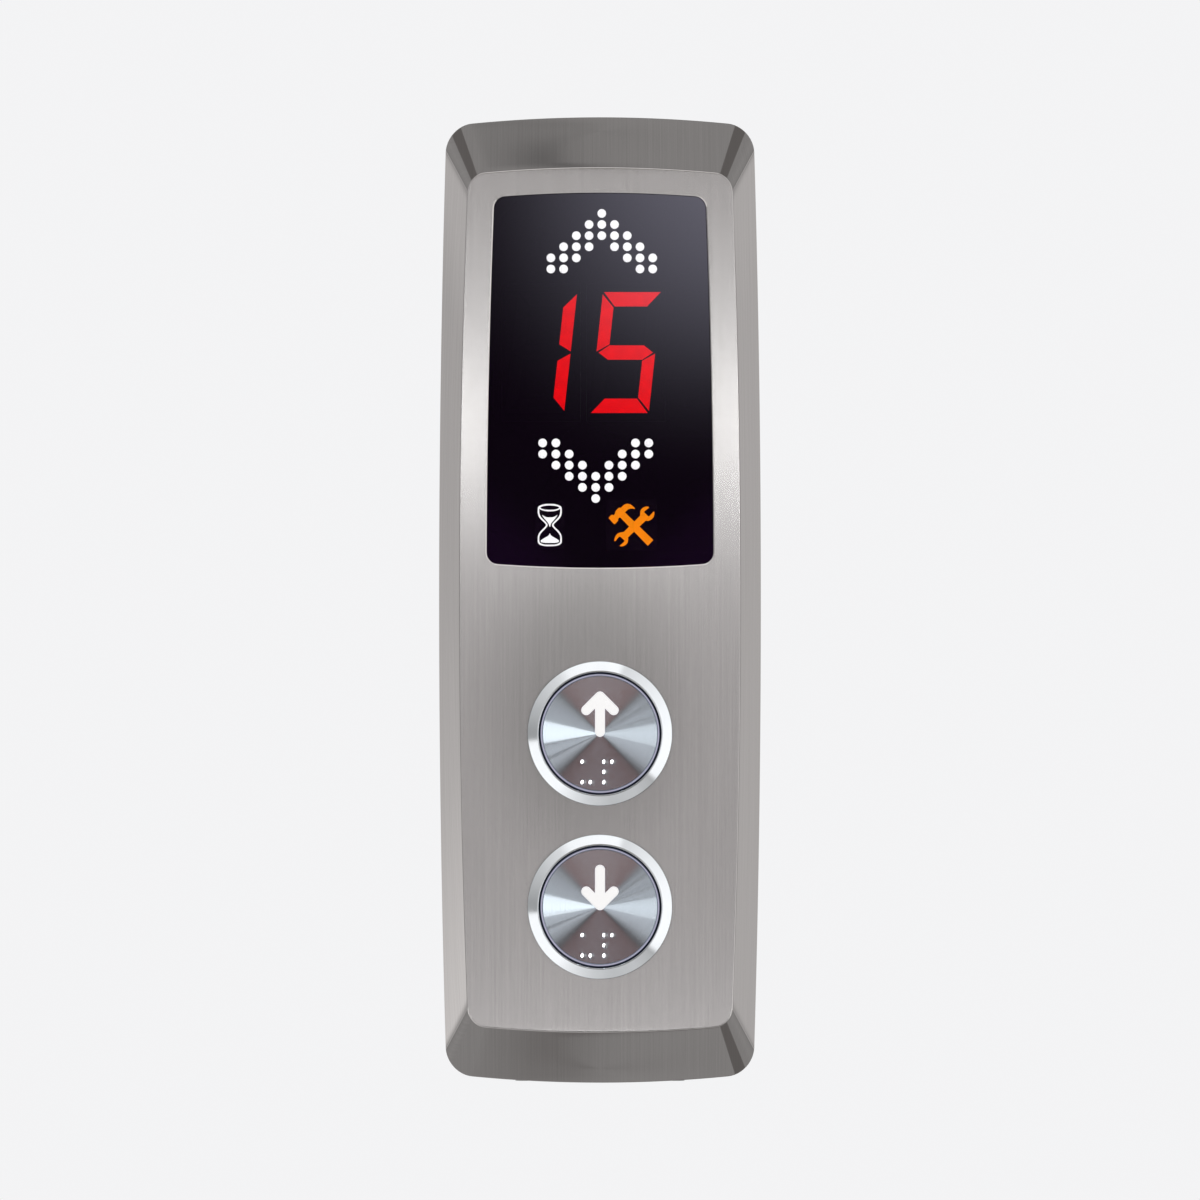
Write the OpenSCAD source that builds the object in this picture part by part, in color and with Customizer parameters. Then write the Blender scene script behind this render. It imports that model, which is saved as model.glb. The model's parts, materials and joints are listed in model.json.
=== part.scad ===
// Landing call station for a lift: a slim stainless faceplate with a floor display and two
// push buttons, hung on a back plate that is screwed to the wall.
// Every piece is drawn lying on its back: x to the right, y up the panel, z out from the wall.
// stand() then turns it upright, with the wall plane at Y = 0 and the front towards -Y.

/* [Panel] */
// Width of the panel across its middle
panel_w = 90; // [84:1:110]
// Height of the panel on its centre line
panel_h = 270; // [250:1:300]
// Distance from the wall to the flat front face
panel_depth = 20; // [20:0.5:26]
// Height of the straight edge wall before the bevel starts
rim_h = 6; // [5.6:0.2:8]
// Thickness of the stainless sheet
sheet_t = 1.5; // [1.2:0.1:1.6]
// Width of the bevel along each side
bevel_side = 5.8; // [5:0.2:6.4]
// Width of the bevel at the top and the bottom
bevel_end = 14.5; // [12:0.5:14.5]
// Radius of the long arc of each side edge
panel_side_r = 4450; // [3500:50:9000]
// Radius of the long arcs beside the flat face and the window
face_side_r = 3000; // [2600:50:6000]
// Radius of the arcs across the top and the bottom
end_r = 400; // [350:10:800]
// Corner radius of the panel
panel_corner_r = 7.5; // [5:0.5:10]
// Corner radius of the flat face
face_corner_r = 5; // [3:0.5:7]

/* [Back plate] */
// Clearance between the back plate and the faceplate's edge wall
case_gap = 0.3; // [0.2:0.05:0.6]
// Distance between the two columns of wall screw slots
slot_pitch_x = 50; // [40:1:54]
// Distance between the upper and the lower wall screw slots
slot_pitch_y = 216; // [212:1:226]
// Width of a wall screw slot
slot_w = 4.5; // [4:0.1:5.5]
// Length of a wall screw slot, end to end
slot_len = 8; // [7:0.5:12]
// Width of the cable entry
entry_w = 32; // [26:1:36]
// Height of the cable entry
entry_h = 12; // [10:0.5:13]
// Distance of the cable entry's middle below the control board
entry_drop = 13.5; // [12:0.5:15]
// Thickness of the rubber edging in the cable entry
edging_t = 1.2; // [1:0.1:1.6]
// Length of the folded flanges at the top and bottom of the back plate
flange_len = 56; // [52:1:60]
// Height of the folded flanges above the wall
flange_h = 5.2; // [5:0.1:5.3]
// Distance between the two cover screws, and between the two hanging tongues
cover_screw_pitch = 42; // [38:1:44]
// Diameter of the cover screws
cover_screw_d = 3; // [2.5:0.1:3.2]

/* [Display window] */
// Distance from the panel's side edge to the window, at the panel's mid-height
window_side = 13.4; // [12.5:0.05:14]
// Distance from the panel's top edge down to the window
window_drop = 21.5; // [19:0.5:22]
// Height of the window
window_h = 104.5; // [103:0.5:107]
// Corner radius of the window
window_corner_r = 3; // [2:0.5:5]
// Clearance around the lens in its opening
lens_gap = 0.15; // [0.1:0.05:0.3]
// How far the lens flange reaches behind the faceplate
lens_flange = 1.8; // [1.4:0.1:2]
// Thickness of the lens flange
lens_flange_t = 1.5; // [1.2:0.1:1.8]
// Thickness of the adhesive tape frame
tape_t = 0.3; // [0.2:0.1:0.5]

/* [Display] */
// Depth of the light mask and of the digit cases
mask_t = 7; // [6.6:0.1:7.2]
// Height of a digit
digit_h = 33.7; // [32:0.1:35]
// Width of a digit across its bars
digit_w = 16.4; // [15.4:0.1:17]
// Width of the upright bars
bar_w = 3.4; // [3:0.1:4]
// Height of the level bars
bar_h = 4; // [3.4:0.1:4.4]
// Gap between neighbouring bars
bar_gap = 0.3; // [0.2:0.05:0.5]
// Lean of the digits in degrees
lean = 6.2; // [0:0.1:8]
// Distance between the two digits
digit_pitch = 23.6; // [23:0.1:25]
// Place of the units digit, to the right of the centre line
units_x = 7.2; // [6.5:0.1:8]
// Distance of the digits' middle below the window's top edge
digit_drop = 44.5; // [44:0.1:46]
// Width of a digit case
digit_case_w = 22; // [21:0.1:22.4]
// Height of a digit case
digit_case_h = 38.4; // [37:0.1:39]
// Diameter of a dot of the arrows
dot_d = 2.4; // [2.2:0.1:2.8]
// Distance between the dot columns of the up arrow
up_dot_pitch_x = 3.55; // [3.4:0.05:3.8]
// Distance between the dot columns of the down arrow
down_dot_pitch_x = 3.7; // [3.4:0.05:3.8]
// Distance between the dot rows of the arrows
dot_pitch_y = 3.1; // [3:0.1:3.3]
// Distance of the up arrow's tip dot below the window's top edge
up_tip_drop = 5.7; // [5:0.1:7]
// Height of the down arrow's tip dot above the window's bottom edge
down_tip_rise = 19.3; // [19:0.1:20.5]
// Distance of the up arrow to the right of the centre line
up_arrow_x = 0.5; // [-1:0.1:1]
// Distance of the down arrow to the left of the centre line
down_arrow_x = 1.2; // [-1:0.1:1.5]
// Depth of the shallow pockets that hold the icons
icon_t = 0.6; // [0.4:0.1:1]
// Height of the icons' middle above the window's bottom edge
icon_rise = 11.9; // [11:0.1:12]
// Distance of the hourglass to the left of the centre line
hourglass_x = 14; // [13:0.1:15]
// Distance of the tools sign to the right of the centre line
tools_x = 8.8; // [8:0.1:11]
// Height of the hourglass
hourglass_h = 11.8; // [10:0.1:12]
// Width of the hourglass
hourglass_w = 6.7; // [6:0.1:7.4]
// Size of the square that the tools sign fills
tools_size = 12.8; // [11:0.1:12.8]

/* [Boards] */
// Thickness of the circuit boards
board_t = 1.6; // [1:0.1:1.6]
// Diameter of the welded studs that carry the control board
stud_d = 2.5; // [2:0.1:3]
// Clearance of the board around its studs
stud_gap = 0.15; // [0.1:0.05:0.3]
// Height of the lower pair of studs above the window's bottom edge
stud_low_rise = 13; // [9:1:21]
// Distance of the upper pair of studs below the window's top edge
stud_high_drop = 16; // [14:1:24]

/* [Buttons] */
// Distance between the two buttons
button_pitch = 48.3; // [47.5:0.1:49]
// Share of the free height below the window that lies above the buttons
button_share = 0.65; // [0.6:0.01:0.7]
// Diameter of the button bezel
bezel_d = 40.4; // [39.6:0.1:41]
// Height of the bezel above its gasket
bezel_h = 1.8; // [1.4:0.1:2.4]
// Width of the bezel's lip outside its threaded barrel
bezel_lip = 1.6; // [1.2:0.1:1.8]
// Bore of the bezel
bezel_bore = 34.2; // [34:0.1:34.6]
// Clearance of the barrel in the faceplate
barrel_gap = 0.1; // [0.05:0.05:0.3]
// Thickness of the gasket under the bezel
gasket_t = 0.4; // [0.3:0.1:0.6]
// Thickness of the clamp nut
nut_t = 4; // [3:0.5:5]
// Diameter of the clamp nut
nut_d = 44; // [42:0.5:45]
// Running gap between the bezel and the light ring
halo_gap = 0.4; // [0.3:0.05:0.5]
// Width of the light ring around the cap
halo_w = 0.5; // [0.4:0.1:1]
// Thickness of the steel cap
cap_t = 0.8; // [0.6:0.1:1]
// Depth of the cap's face below the top of the bezel
cap_sink = 0.3; // [0.2:0.1:0.6]
// Travel of the button
travel = 1.5; // [1:0.1:1.5]
// Width of the arrow's strokes
stroke_w = 2.75; // [2:0.05:3]
// Width of the arrow across its barbs
arrow_w = 10.4; // [9:0.1:12]
// Length of the arrow from tail to tip
arrow_h = 12.6; // [11:0.1:13]
// Height of the arrow's middle above the button's middle
arrow_y = 5.4; // [5:0.1:6]
// How far the arrow stands out of the cap
arrow_proud = 0.1; // [0:0.05:0.2]
// Diameter of a braille dot
braille_d = 1.5; // [1.2:0.1:1.6]
// Height of a braille dot
braille_h = 0.5; // [0.3:0.1:0.7]
// Diameter of the switch plunger
plunger_d = 3.2; // [2.6:0.1:3.6]
// Diameter of the stem that presses the plunger
stem_d = 5; // [4.4:0.1:5]
// Wire diameter of the return spring
spring_wire = 0.5; // [0.4:0.05:0.6]
// Mean diameter of the return spring
spring_d = 7; // [6.8:0.1:8]

/* [Hidden] */
$fn = 48;

// How finely the long arcs and the corners are divided
side_steps = 12;
end_steps = 8;
corner_steps = 6;
// How far a cutting tool runs past the surface that it cuts
past = 1;
// Clearance of a piece in a pocket, and of a screw or nut on its thread
fit = 0.05;

// Faceplate: the inside follows the outside at sheet thickness, so its folds move by a mitre
bevel_h = panel_depth - rim_h;
inner_z = panel_depth - sheet_t;
face_half_w = panel_w/2 - bevel_side;
face_half_h = panel_h/2 - bevel_end;
side_fold = atan2(bevel_h, bevel_side);
end_fold = atan2(bevel_h, bevel_end);
face_inset_side = sheet_t*tan(side_fold/2);
face_inset_end = sheet_t*tan(end_fold/2);
rim_drop = sheet_t*tan((90 - end_fold)/2);

// Window, in the panel's own heights
window_w = panel_w - 2*window_side;
window_top = panel_h/2 - window_drop;
window_bottom = window_top - window_h;
digit_y = window_top - digit_drop;
up_tip_y = window_top - up_tip_drop;
down_tip_y = window_bottom + down_tip_rise;
icon_y = window_bottom + icon_rise;
stud_low_y = window_bottom + stud_low_rise;
stud_high_y = window_top - stud_high_drop;

// Places of the buttons: what height the window and both clamp nuts leave free is shared out
button_room = window_bottom + face_half_h - button_pitch - nut_d;
up_button_y = window_bottom - button_share*button_room - nut_d/2;
down_button_y = up_button_y - button_pitch;

// Display stack, from the faceplate inwards
lens_back_z = inner_z - tape_t - lens_flange_t;
mask_back_z = lens_back_z - mask_t;
board_back_z = mask_back_z - board_t;
icon_floor_z = lens_back_z - icon_t;
led_h = 0.8;
dot_led_w = 1.6;
icon_led_w = 3.2;
led_d = 2.8;
pipe_air = 0.2;
icon_light_d = 5;
icon_pocket_gap = 0.7;
pipe_back_z = mask_back_z + led_h + pipe_air;
tens_x = units_x - digit_pitch;
pin_d = 0.5;
pin_pitch = 2.54;
pin_row_y = digit_case_h/2 - 2;
pins_per_row = 5;

// Columns filled in each row of the up arrow, tip first; the down arrow is its mirror
ARROW_ROWS = [[0], [-1, 0, 1], [-2, -1, 0, 1, 2], [-3, -2, -1, 1, 2, 3],
    [-4, -3, -2, 2, 3, 4], [-4, -3, 3, 4]];

// Control board and what it carries
board_edge = 2.4;
board_low_y = window_bottom - 5.5;
board_high_y = window_top + lens_flange + 1;
entry_y = board_low_y - entry_drop;
nut_af = 5;
board_nut_h = 2;
stud_tail = 0.6;
header_len = 5.5;
header_w = 9;
header_h = 3.6;
header_wall = 0.7;
plug_len = 3.5;
plug_nose = 3;
plug_step = 0.3;
lead_t = 0.2;
PROCESSOR_SIZE = [12, 12, 1.6];
DRIVER_SIZE = [10, 7.6, 2.3];
driver_x = 20;
capacitor_x = 19;
capacitor_rise = 29.5;
capacitor_d = 6.3;
capacitor_h = 4.2;
capacitor_foot = 6.6;
capacitor_foot_h = 1;
terminal_ways = 4;
terminal_pitch = 5.5;
terminal_len = 9.5;
terminal_h = 5.8;
terminal_mouth = 3.2;
terminal_screw_w = 2.4;
wire_d = 1.1;
wire_pitch = 1.8;
WIRES = [-1.5, -0.5, 0.5, 1.5];
socket_x = 24;

// Cover screws and hanging tongues, in the bottom and the top edge wall
screw_head_d = cover_screw_d*1.8;
screw_len = 6;
screw_hex_d = cover_screw_d*0.66;
screw_hex_depth = 0.9;
cover_screw_z = 3.2;
flange_gap_y = sheet_t + case_gap;
tongue_w = 10;
tongue_len = 5.5;
tongue_t = 1.5;
tongue_z = 2.4;
slot_clear = 0.3;
earth_stud_x = panel_w/2 - 10;
earth_stud_d = 4;
earth_stud_h = 9;
earth_nut_h = 3.2;
earth_nut_af = 7;
edging_lip = 1;

// Button, from its face inwards
bezel_top_z = panel_depth + gasket_t + bezel_h;
bezel_edge = 0.4;
gasket_inset = 0.2;
bezel_r = bezel_d/2;
barrel_r = bezel_r - bezel_lip;
bore_r = bezel_bore/2;
barrel_len = 13.7;
barrel_back_z = bezel_top_z - barrel_len;
thread_pitch = 1;
thread_depth = 0.45;
nut_notch_w = 3;
nut_notch_depth = 0.4*(nut_d/2 - barrel_r);
thread_turns = floor((inner_z - barrel_back_z - thread_pitch)/thread_pitch);
halo_r = bore_r - halo_gap;
cap_r = halo_r - halo_w;
cap_top_z = bezel_top_z - cap_sink;
cap_back_z = cap_top_z - cap_t;
cap_edge = 0.25;
halo_below_cap = 0.15;
halo_floor_t = 1.6;
halo_back_z = cap_back_z - halo_floor_t;
skirt_w = 1.3;
skirt_len = 3;
guide_top_z = barrel_back_z + 4.7;
guide_t = 1.2;
guide_back_z = guide_top_z - guide_t;
stem_end_z = guide_top_z + 1;
stem_gap = 0.2;
housing_r = bore_r - 0.1;
housing_wall = 1.2;
housing_back_z = guide_top_z - 8.2;
housing_lip_t = 1.2;
button_board_front_z = guide_back_z - 4.4;
button_board_back_z = button_board_front_z - board_t;
button_board_r = housing_r - housing_wall - 0.2;
switch_w = 7;
switch_h = 4.3;
switch_floor = 0.5;
plunger_gap = 0.06;
plunger_back_z = button_board_front_z + switch_floor + travel + 0.1;
leg_r = 13.3;
leg_w = 3;
leg_t = 1.2;
hook_out = 0.8;
hook_gap = 0.1;
hook_h = 1.3;
leg_slot_gap = 0.3;
LEG_ANGLES = [90, 210, 330];
pillar_r = 13.2;
pillar_d = 3;
stake_d = 1.4;
stake_tail = 0.6;
PILLAR_ANGLES = [30, 150, 270];
led_r = 10;
led_window_d = 4.4;
button_led_h = 1.9;
LED_ANGLES = [45, 135, 225, 315];
header_start = 4;
spring_turns = 5;
spring_sides = 6;
spring_steps = 14;

// Two braille cells that read "up": the dot numbers of each cell, 1 to 3 down the left column
BRAILLE_CELLS = [[1, 3, 6], [1, 2, 3, 4]];
BRAILLE_START = [-4.65, -7.9];
braille_pitch_x = 2.25;
braille_pitch_y = 2.85;
braille_cell_pitch = 6.05;

// Middle line of each wire bundle: x, y, z, then the direction in which its wires lie side by
// side. It leaves the button's plug level, bends up the panel and rises into the board's plug.
function between(a, b, t) = a + (b - a)*t;
wire_start_x = header_start + header_len + plug_len;
button_wire_z = housing_back_z - 0.9;
board_wire_y = board_low_y - plug_len;
board_wire_z = board_back_z - header_h/2;
up_bend_y = up_button_y + 7;
down_bend_y = down_button_y + 7;
board_bend_y = board_wire_y - 4;
UP_ROUTE = [[-wire_start_x, up_button_y, button_wire_z, 0, 1],
    [-wire_start_x - 2, up_button_y, button_wire_z, 0, 1],
    [-wire_start_x - 5, up_button_y, button_wire_z, 0, 1],
    [-22.9, up_button_y + 2, button_wire_z, 0.7, 0.7],
    [-25, up_bend_y, button_wire_z, 1, 0],
    [-25, between(up_bend_y, board_bend_y, 0.4), button_wire_z + 0.3, 1, 0],
    [-25, between(up_bend_y, board_bend_y, 0.77), button_wire_z + 1.1, 1, 0],
    [-socket_x, board_bend_y, board_wire_z, 1, 0],
    [-socket_x, board_wire_y - 1.5, board_wire_z, 1, 0],
    [-socket_x, board_wire_y, board_wire_z, 1, 0]];
DOWN_ROUTE = [[wire_start_x, down_button_y, button_wire_z, 0, 1],
    [wire_start_x + 2, down_button_y, button_wire_z, 0, 1],
    [wire_start_x + 5, down_button_y, button_wire_z, 0, 1],
    [22.9, down_button_y + 2, button_wire_z, -0.7, 0.7],
    [25, down_bend_y, button_wire_z, -1, 0],
    [26, between(down_bend_y, board_bend_y, 0.2), button_wire_z, -1, 0],
    [26, between(down_bend_y, board_bend_y, 0.45), button_wire_z, -1, 0],
    [26, between(down_bend_y, board_bend_y, 0.72), button_wire_z + 0.3, -1, 0],
    [25, between(down_bend_y, board_bend_y, 0.92), button_wire_z + 1.1, -1, 0],
    [socket_x, board_bend_y, board_wire_z, -1, 0],
    [socket_x, board_wire_y - 1.5, board_wire_z, -1, 0],
    [socket_x, board_wire_y, board_wire_z, -1, 0]];
wire_sides = 8;
wire_steps = 4;

// Turns what is drawn lying on its back upright against the wall
module stand() rotate([90, 0, 0]) children();

// Solid on an outline between two distances from the wall
module slab(from, to) translate([0, 0, from]) linear_extrude(to - from) children();

// Rounded rectangle, anticlockwise, with points along its straight runs so that they can be bowed
function run_points(a, b, n) = [for (i = [1 : n - 1]) a + (b - a)*i/n];
function arc_points(c, r, start) =
    [for (i = [0 : corner_steps]) let (a = start + 90*i/corner_steps) c + r*[cos(a), sin(a)]];
function rounded_points(half_w, low, high, r) = concat(
    run_points([half_w, low + r], [half_w, high - r], side_steps),
    arc_points([half_w - r, high - r], r, 0),
    run_points([half_w - r, high], [r - half_w, high], end_steps),
    arc_points([r - half_w, high - r], r, 90),
    run_points([-half_w, high - r], [-half_w, low + r], side_steps),
    arc_points([r - half_w, low + r], r, 180),
    run_points([r - half_w, low], [half_w - r, low], end_steps),
    arc_points([half_w - r, low + r], r, 270));

// The same with all four edges bowed: the sides draw in by y^2/2R away from mid-height, and the
// top and bottom edges fall away by x^2/2R from the centre line
function bowed_points(half_w, low, high, r, side_r) =
    let (mid = (low + high)/2, half_h = (high - low)/2)
    [for (p = rounded_points(half_w, low, high, r))
        [p.x*(1 - p.y*p.y/(2*side_r*half_w)),
         p.y - (p.y - mid)/half_h*p.x*p.x/(2*end_r)]];

function panel_points(inset) = bowed_points(panel_w/2 - inset, inset - panel_h/2,
    panel_h/2 - inset, panel_corner_r - inset, panel_side_r);
function face_points(inset_side, inset_end) = bowed_points(face_half_w - inset_side,
    inset_end - face_half_h, face_half_h - inset_end,
    face_corner_r - min(inset_side, inset_end), face_side_r);
function window_points(grow) = bowed_points(window_w/2 + grow, window_bottom - grow,
    window_top + grow, window_corner_r + grow, face_side_r);
function at_height(points, z) = [for (p = points) [p.x, p.y, z]];

// Place of a stud beside the lens flange at a given height
function stud_x(y) = window_w/2 - y*y/(2*face_side_r) + lens_flange + 0.5 + stud_d/2;
STUDS = [for (y = [stud_low_y, stud_high_y], side = [-1, 1]) [side*stud_x(y), y]];

// Closed solid through rings of equally many points, lowest ring first
module loft(rings) {
    n = len(rings[0]);
    last = len(rings) - 1;
    polyhedron(
        points = [for (ring = rings) each ring],
        faces = concat(
            [[for (i = [0 : n - 1]) i]],
            [for (k = [0 : last - 1], i = [0 : n - 1])
                let (j = (i + 1)%n) each [
                    [k*n + i, (k + 1)*n + i, (k + 1)*n + j],
                    [k*n + i, (k + 1)*n + j, k*n + j]]],
            [[for (i = [n - 1 : -1 : 0]) last*n + i]]));
}

// Round tube of a given number of sides through a list of points. Each ring is turned towards
// the line from the point before to the point after.
function unit(v) = v/norm(v);
function heading(path, i) =
    unit(path[min(i + 1, len(path) - 1)] - path[max(i - 1, 0)]);
function tube_ring(c, along, upward, r, sides) =
    let (u = unit(cross(upward, along)), v = cross(along, u))
    [for (k = [0 : sides - 1]) let (a = 360*k/sides) c + r*(cos(a)*u + sin(a)*v)];
module tube(path, r, sides, upward)
    loft([for (i = [0 : len(path) - 1]) tube_ring(path[i], heading(path, i), upward, r, sides)]);

// Smooth curve through a list of points: a cubic between each pair, steered by their neighbours
function spline_point(a, b, c, d, t) =
    0.5*((2*b) + (c - a)*t + (2*a - 5*b + 4*c - d)*t*t + (3*b - a - 3*c + d)*t*t*t);
function smooth(path, steps) =
    let (last = len(path) - 1)
    concat([for (i = [0 : last - 1], s = [0 : steps - 1])
        spline_point(path[max(i - 1, 0)], path[i], path[i + 1], path[min(i + 2, last)], s/steps)],
        [path[last]]);

// Faceplate

module cover_screw_places() {
    for (side = [-1, 1])
        translate([side*cover_screw_pitch/2,
            -panel_h/2 + pow(cover_screw_pitch/2, 2)/(2*end_r), cover_screw_z])
            rotate([-90, 0, 0]) children();
}

module hanging_tongues() {
    for (side = [-1, 1])
        translate([side*cover_screw_pitch/2 - tongue_w/2,
            panel_h/2 - sheet_t/2 - pow(cover_screw_pitch/2 + tongue_w/2, 2)/(2*end_r) - tongue_len,
            tongue_z])
            cube([tongue_w, tongue_len, tongue_t]);
}

module faceplate() color("silver") stand() {
    difference() {
        loft([at_height(panel_points(0), 0), at_height(panel_points(0), rim_h),
            at_height(face_points(0, 0), panel_depth)]);
        loft([at_height(panel_points(sheet_t), -past),
            at_height(panel_points(sheet_t), rim_h - rim_drop),
            at_height(face_points(face_inset_side, face_inset_end), inner_z)]);
        slab(inner_z - past, panel_depth + past) polygon(window_points(0));
        for (y = [up_button_y, down_button_y])
            translate([0, y, inner_z - past])
                cylinder(r = barrel_r + barrel_gap, h = sheet_t + 2*past);
        cover_screw_places() {
            translate([0, 0, -past]) cylinder(d = cover_screw_d + 4*fit, h = sheet_t + 2*past);
            translate([0, 0, -fit])
                cylinder(d1 = screw_head_d + 2*fit, d2 = cover_screw_d + 2*fit, h = sheet_t);
        }
    }
}

// Studs welded behind the face for the control board, and tongues welded inside the top edge wall
module welded_fittings() color("silver") stand() {
    for (s = STUDS)
        translate([s.x, s.y, board_back_z - board_nut_h - stud_tail])
            cylinder(d = stud_d, h = inner_z - board_back_z + board_nut_h + stud_tail);
    intersection() {
        hanging_tongues();
        slab(0, rim_h) polygon(panel_points(sheet_t));
    }
}

// Back plate and what is on it

module wall_slot() {
    for (side = [-1, 1])
        translate([side*(slot_len - slot_w)/2, 0, -past])
            cylinder(d = slot_w, h = sheet_t + 2*past);
    translate([-(slot_len - slot_w)/2, -slot_w/2, -past])
        cube([slot_len - slot_w, slot_w, sheet_t + 2*past]);
}

// Strip of folded sheet that follows the bowed end edge, where side is 1 at the top, -1 below
module end_flange(side) {
    slab(0, flange_h) intersection() {
        difference() {
            polygon(panel_points(flange_gap_y));
            polygon(panel_points(flange_gap_y + sheet_t));
        }
        translate([-flange_len/2, side > 0 ? panel_h/4 : -panel_h])
            square([flange_len, 3*panel_h/4]);
    }
}

module back_plate() color("gainsboro") stand() difference() {
    union() {
        slab(0, sheet_t) polygon(panel_points(flange_gap_y));
        end_flange(1);
        end_flange(-1);
    }
    for (x = [-1, 1], y = [-1, 1])
        translate([x*slot_pitch_x/2, y*slot_pitch_y/2]) wall_slot();
    translate([-entry_w/2, entry_y - entry_h/2, -past])
        cube([entry_w, entry_h, sheet_t + 2*past]);
    for (side = [-1, 1])
        translate([side*cover_screw_pitch/2 - tongue_w/2 - slot_clear, panel_h/4,
            tongue_z - slot_clear])
            cube([tongue_w + 2*slot_clear, panel_h/2, tongue_t + 2*slot_clear]);
    cover_screw_places() cylinder(d = cover_screw_d + 2*fit, h = screw_len + past);
}

module cable_grommet() color("#202020") stand() {
    lip = edging_t + edging_lip;
    difference() {
        union() {
            slab(0, sheet_t) translate([-entry_w/2, entry_y - entry_h/2]) square([entry_w, entry_h]);
            slab(sheet_t, sheet_t + edging_t)
                translate([-entry_w/2 - lip, entry_y - entry_h/2 - lip])
                square([entry_w + 2*lip, entry_h + 2*lip]);
        }
        slab(-past, sheet_t + edging_t + past)
            translate([-entry_w/2 + edging_t, entry_y - entry_h/2 + edging_t])
            square([entry_w - 2*edging_t, entry_h - 2*edging_t]);
    }
}

module cover_screws() color("silver") stand() cover_screw_places() difference() {
    union() {
        cylinder(d1 = screw_head_d, d2 = cover_screw_d, h = sheet_t);
        cylinder(d = cover_screw_d, h = screw_len);
    }
    translate([0, 0, -past]) cylinder(d = screw_hex_d, h = screw_hex_depth + past, $fn = 6);
}

module earth_stud() color("#b08d3a") stand()
    translate([earth_stud_x, entry_y, sheet_t]) cylinder(d = earth_stud_d, h = earth_stud_h);

module hex_nut(af, bore, h) difference() {
    cylinder(d = af/cos(30), h = h, $fn = 6);
    translate([0, 0, -past]) cylinder(d = bore, h = h + 2*past);
}

module earth_nut() color("#c8a951") stand()
    translate([earth_stud_x, entry_y, sheet_t])
    hex_nut(earth_nut_af, earth_stud_d + 2*fit, earth_nut_h);

// Window

module window_lens() color("#2a2833") stand() {
    slab(lens_back_z, lens_back_z + lens_flange_t) polygon(window_points(lens_flange));
    slab(lens_back_z + lens_flange_t, panel_depth) polygon(window_points(-lens_gap));
}

module window_tape() color("#303030") stand()
    slab(lens_back_z + lens_flange_t, inner_z) difference() {
        polygon(window_points(lens_flange));
        polygon(window_points(lens_gap));
    }

// Places of the dots of an arrow, from its tip dot; way is -1 where the rows follow downwards
module dot_places(tip_x, tip_y, way, pitch_x) {
    for (row = [0 : len(ARROW_ROWS) - 1], column = ARROW_ROWS[row])
        translate([tip_x + column*pitch_x, tip_y + way*row*dot_pitch_y]) children();
}

module up_dot_places() dot_places(up_arrow_x, up_tip_y, -1, up_dot_pitch_x) children();
module down_dot_places() dot_places(-down_arrow_x, down_tip_y, 1, down_dot_pitch_x) children();
module all_dot_places() {
    up_dot_places() children();
    down_dot_places() children();
}

module digit_places() {
    for (x = [tens_x, units_x]) translate([x, digit_y]) children();
}

module light_mask() color("#101014") stand() difference() {
    slab(mask_back_z, lens_back_z) polygon(window_points(lens_flange));
    translate([0, 0, mask_back_z - past]) all_dot_places()
        cylinder(d = dot_d + 2*fit, h = mask_t + 2*past);
    slab(mask_back_z - past, lens_back_z + past) digit_places()
        square([digit_case_w, digit_case_h], center = true);
    for (x = [-hourglass_x, tools_x]) translate([x, icon_y]) {
        translate([0, 0, mask_back_z - past]) cylinder(d = icon_light_d, h = mask_t);
        translate([0, 0, icon_floor_z]) linear_extrude(icon_t + past)
            square((x < 0 ? [hourglass_w, hourglass_h] : [tools_size, tools_size])
                + 2*[icon_pocket_gap, icon_pocket_gap], center = true);
    }
}

module up_arrow_dots() color("white") stand() translate([0, 0, pipe_back_z])
    up_dot_places() cylinder(d = dot_d, h = lens_back_z - pipe_back_z);

module down_arrow_dots() color("white") stand() translate([0, 0, pipe_back_z])
    down_dot_places() cylinder(d = dot_d, h = lens_back_z - pipe_back_z);

// Seven bars of a digit, a to g, clockwise from the top and the middle last. A level bar is a
// trapezium and an upright bar is mitred to meet it, with a narrow gap between them.
function slanted(points) = [for (p = points) [p.x + p.y*tan(lean), p.y]];
function flipped(points, fx, fy) = [for (p = points) [p.x*fx, p.y*fy]];
top_bar = let (w = digit_w/2, h = digit_h/2)
    [[-w + bar_gap, h], [w - bar_gap, h], [w - bar_w - bar_gap, h - bar_h],
     [bar_w + bar_gap - w, h - bar_h]];
upper_right_bar = let (w = digit_w/2, h = digit_h/2)
    [[w, h - 2*bar_gap], [w - bar_w, h - bar_h - bar_gap],
     [w - bar_w, bar_h/2 + bar_gap], [w, bar_gap]];
middle_bar = let (w = digit_w/2, tip = digit_w/2 - 2*bar_gap)
    [[-tip, 0], [bar_w - w, bar_h/2], [w - bar_w, bar_h/2], [tip, 0],
     [w - bar_w, -bar_h/2], [bar_w - w, -bar_h/2]];
BARS = [top_bar, upper_right_bar, flipped(upper_right_bar, 1, -1), flipped(top_bar, 1, -1),
    flipped(upper_right_bar, -1, -1), flipped(upper_right_bar, -1, 1), middle_bar];
TENS_LIT = [1, 2];
TENS_DARK = [0, 3, 4, 5, 6];
UNITS_LIT = [0, 2, 3, 5, 6];
UNITS_DARK = [1, 4];

module bars(which) for (i = which) polygon(slanted(BARS[i]));

module digit_case(x) stand() translate([x, digit_y]) slab(mask_back_z, lens_back_z) difference() {
    square([digit_case_w - 2*fit, digit_case_h - 2*fit], center = true);
    bars([0 : 6]);
}

module digit_bars(x, which) stand() translate([x, digit_y]) slab(pipe_back_z, lens_back_z)
    bars(which);

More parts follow.
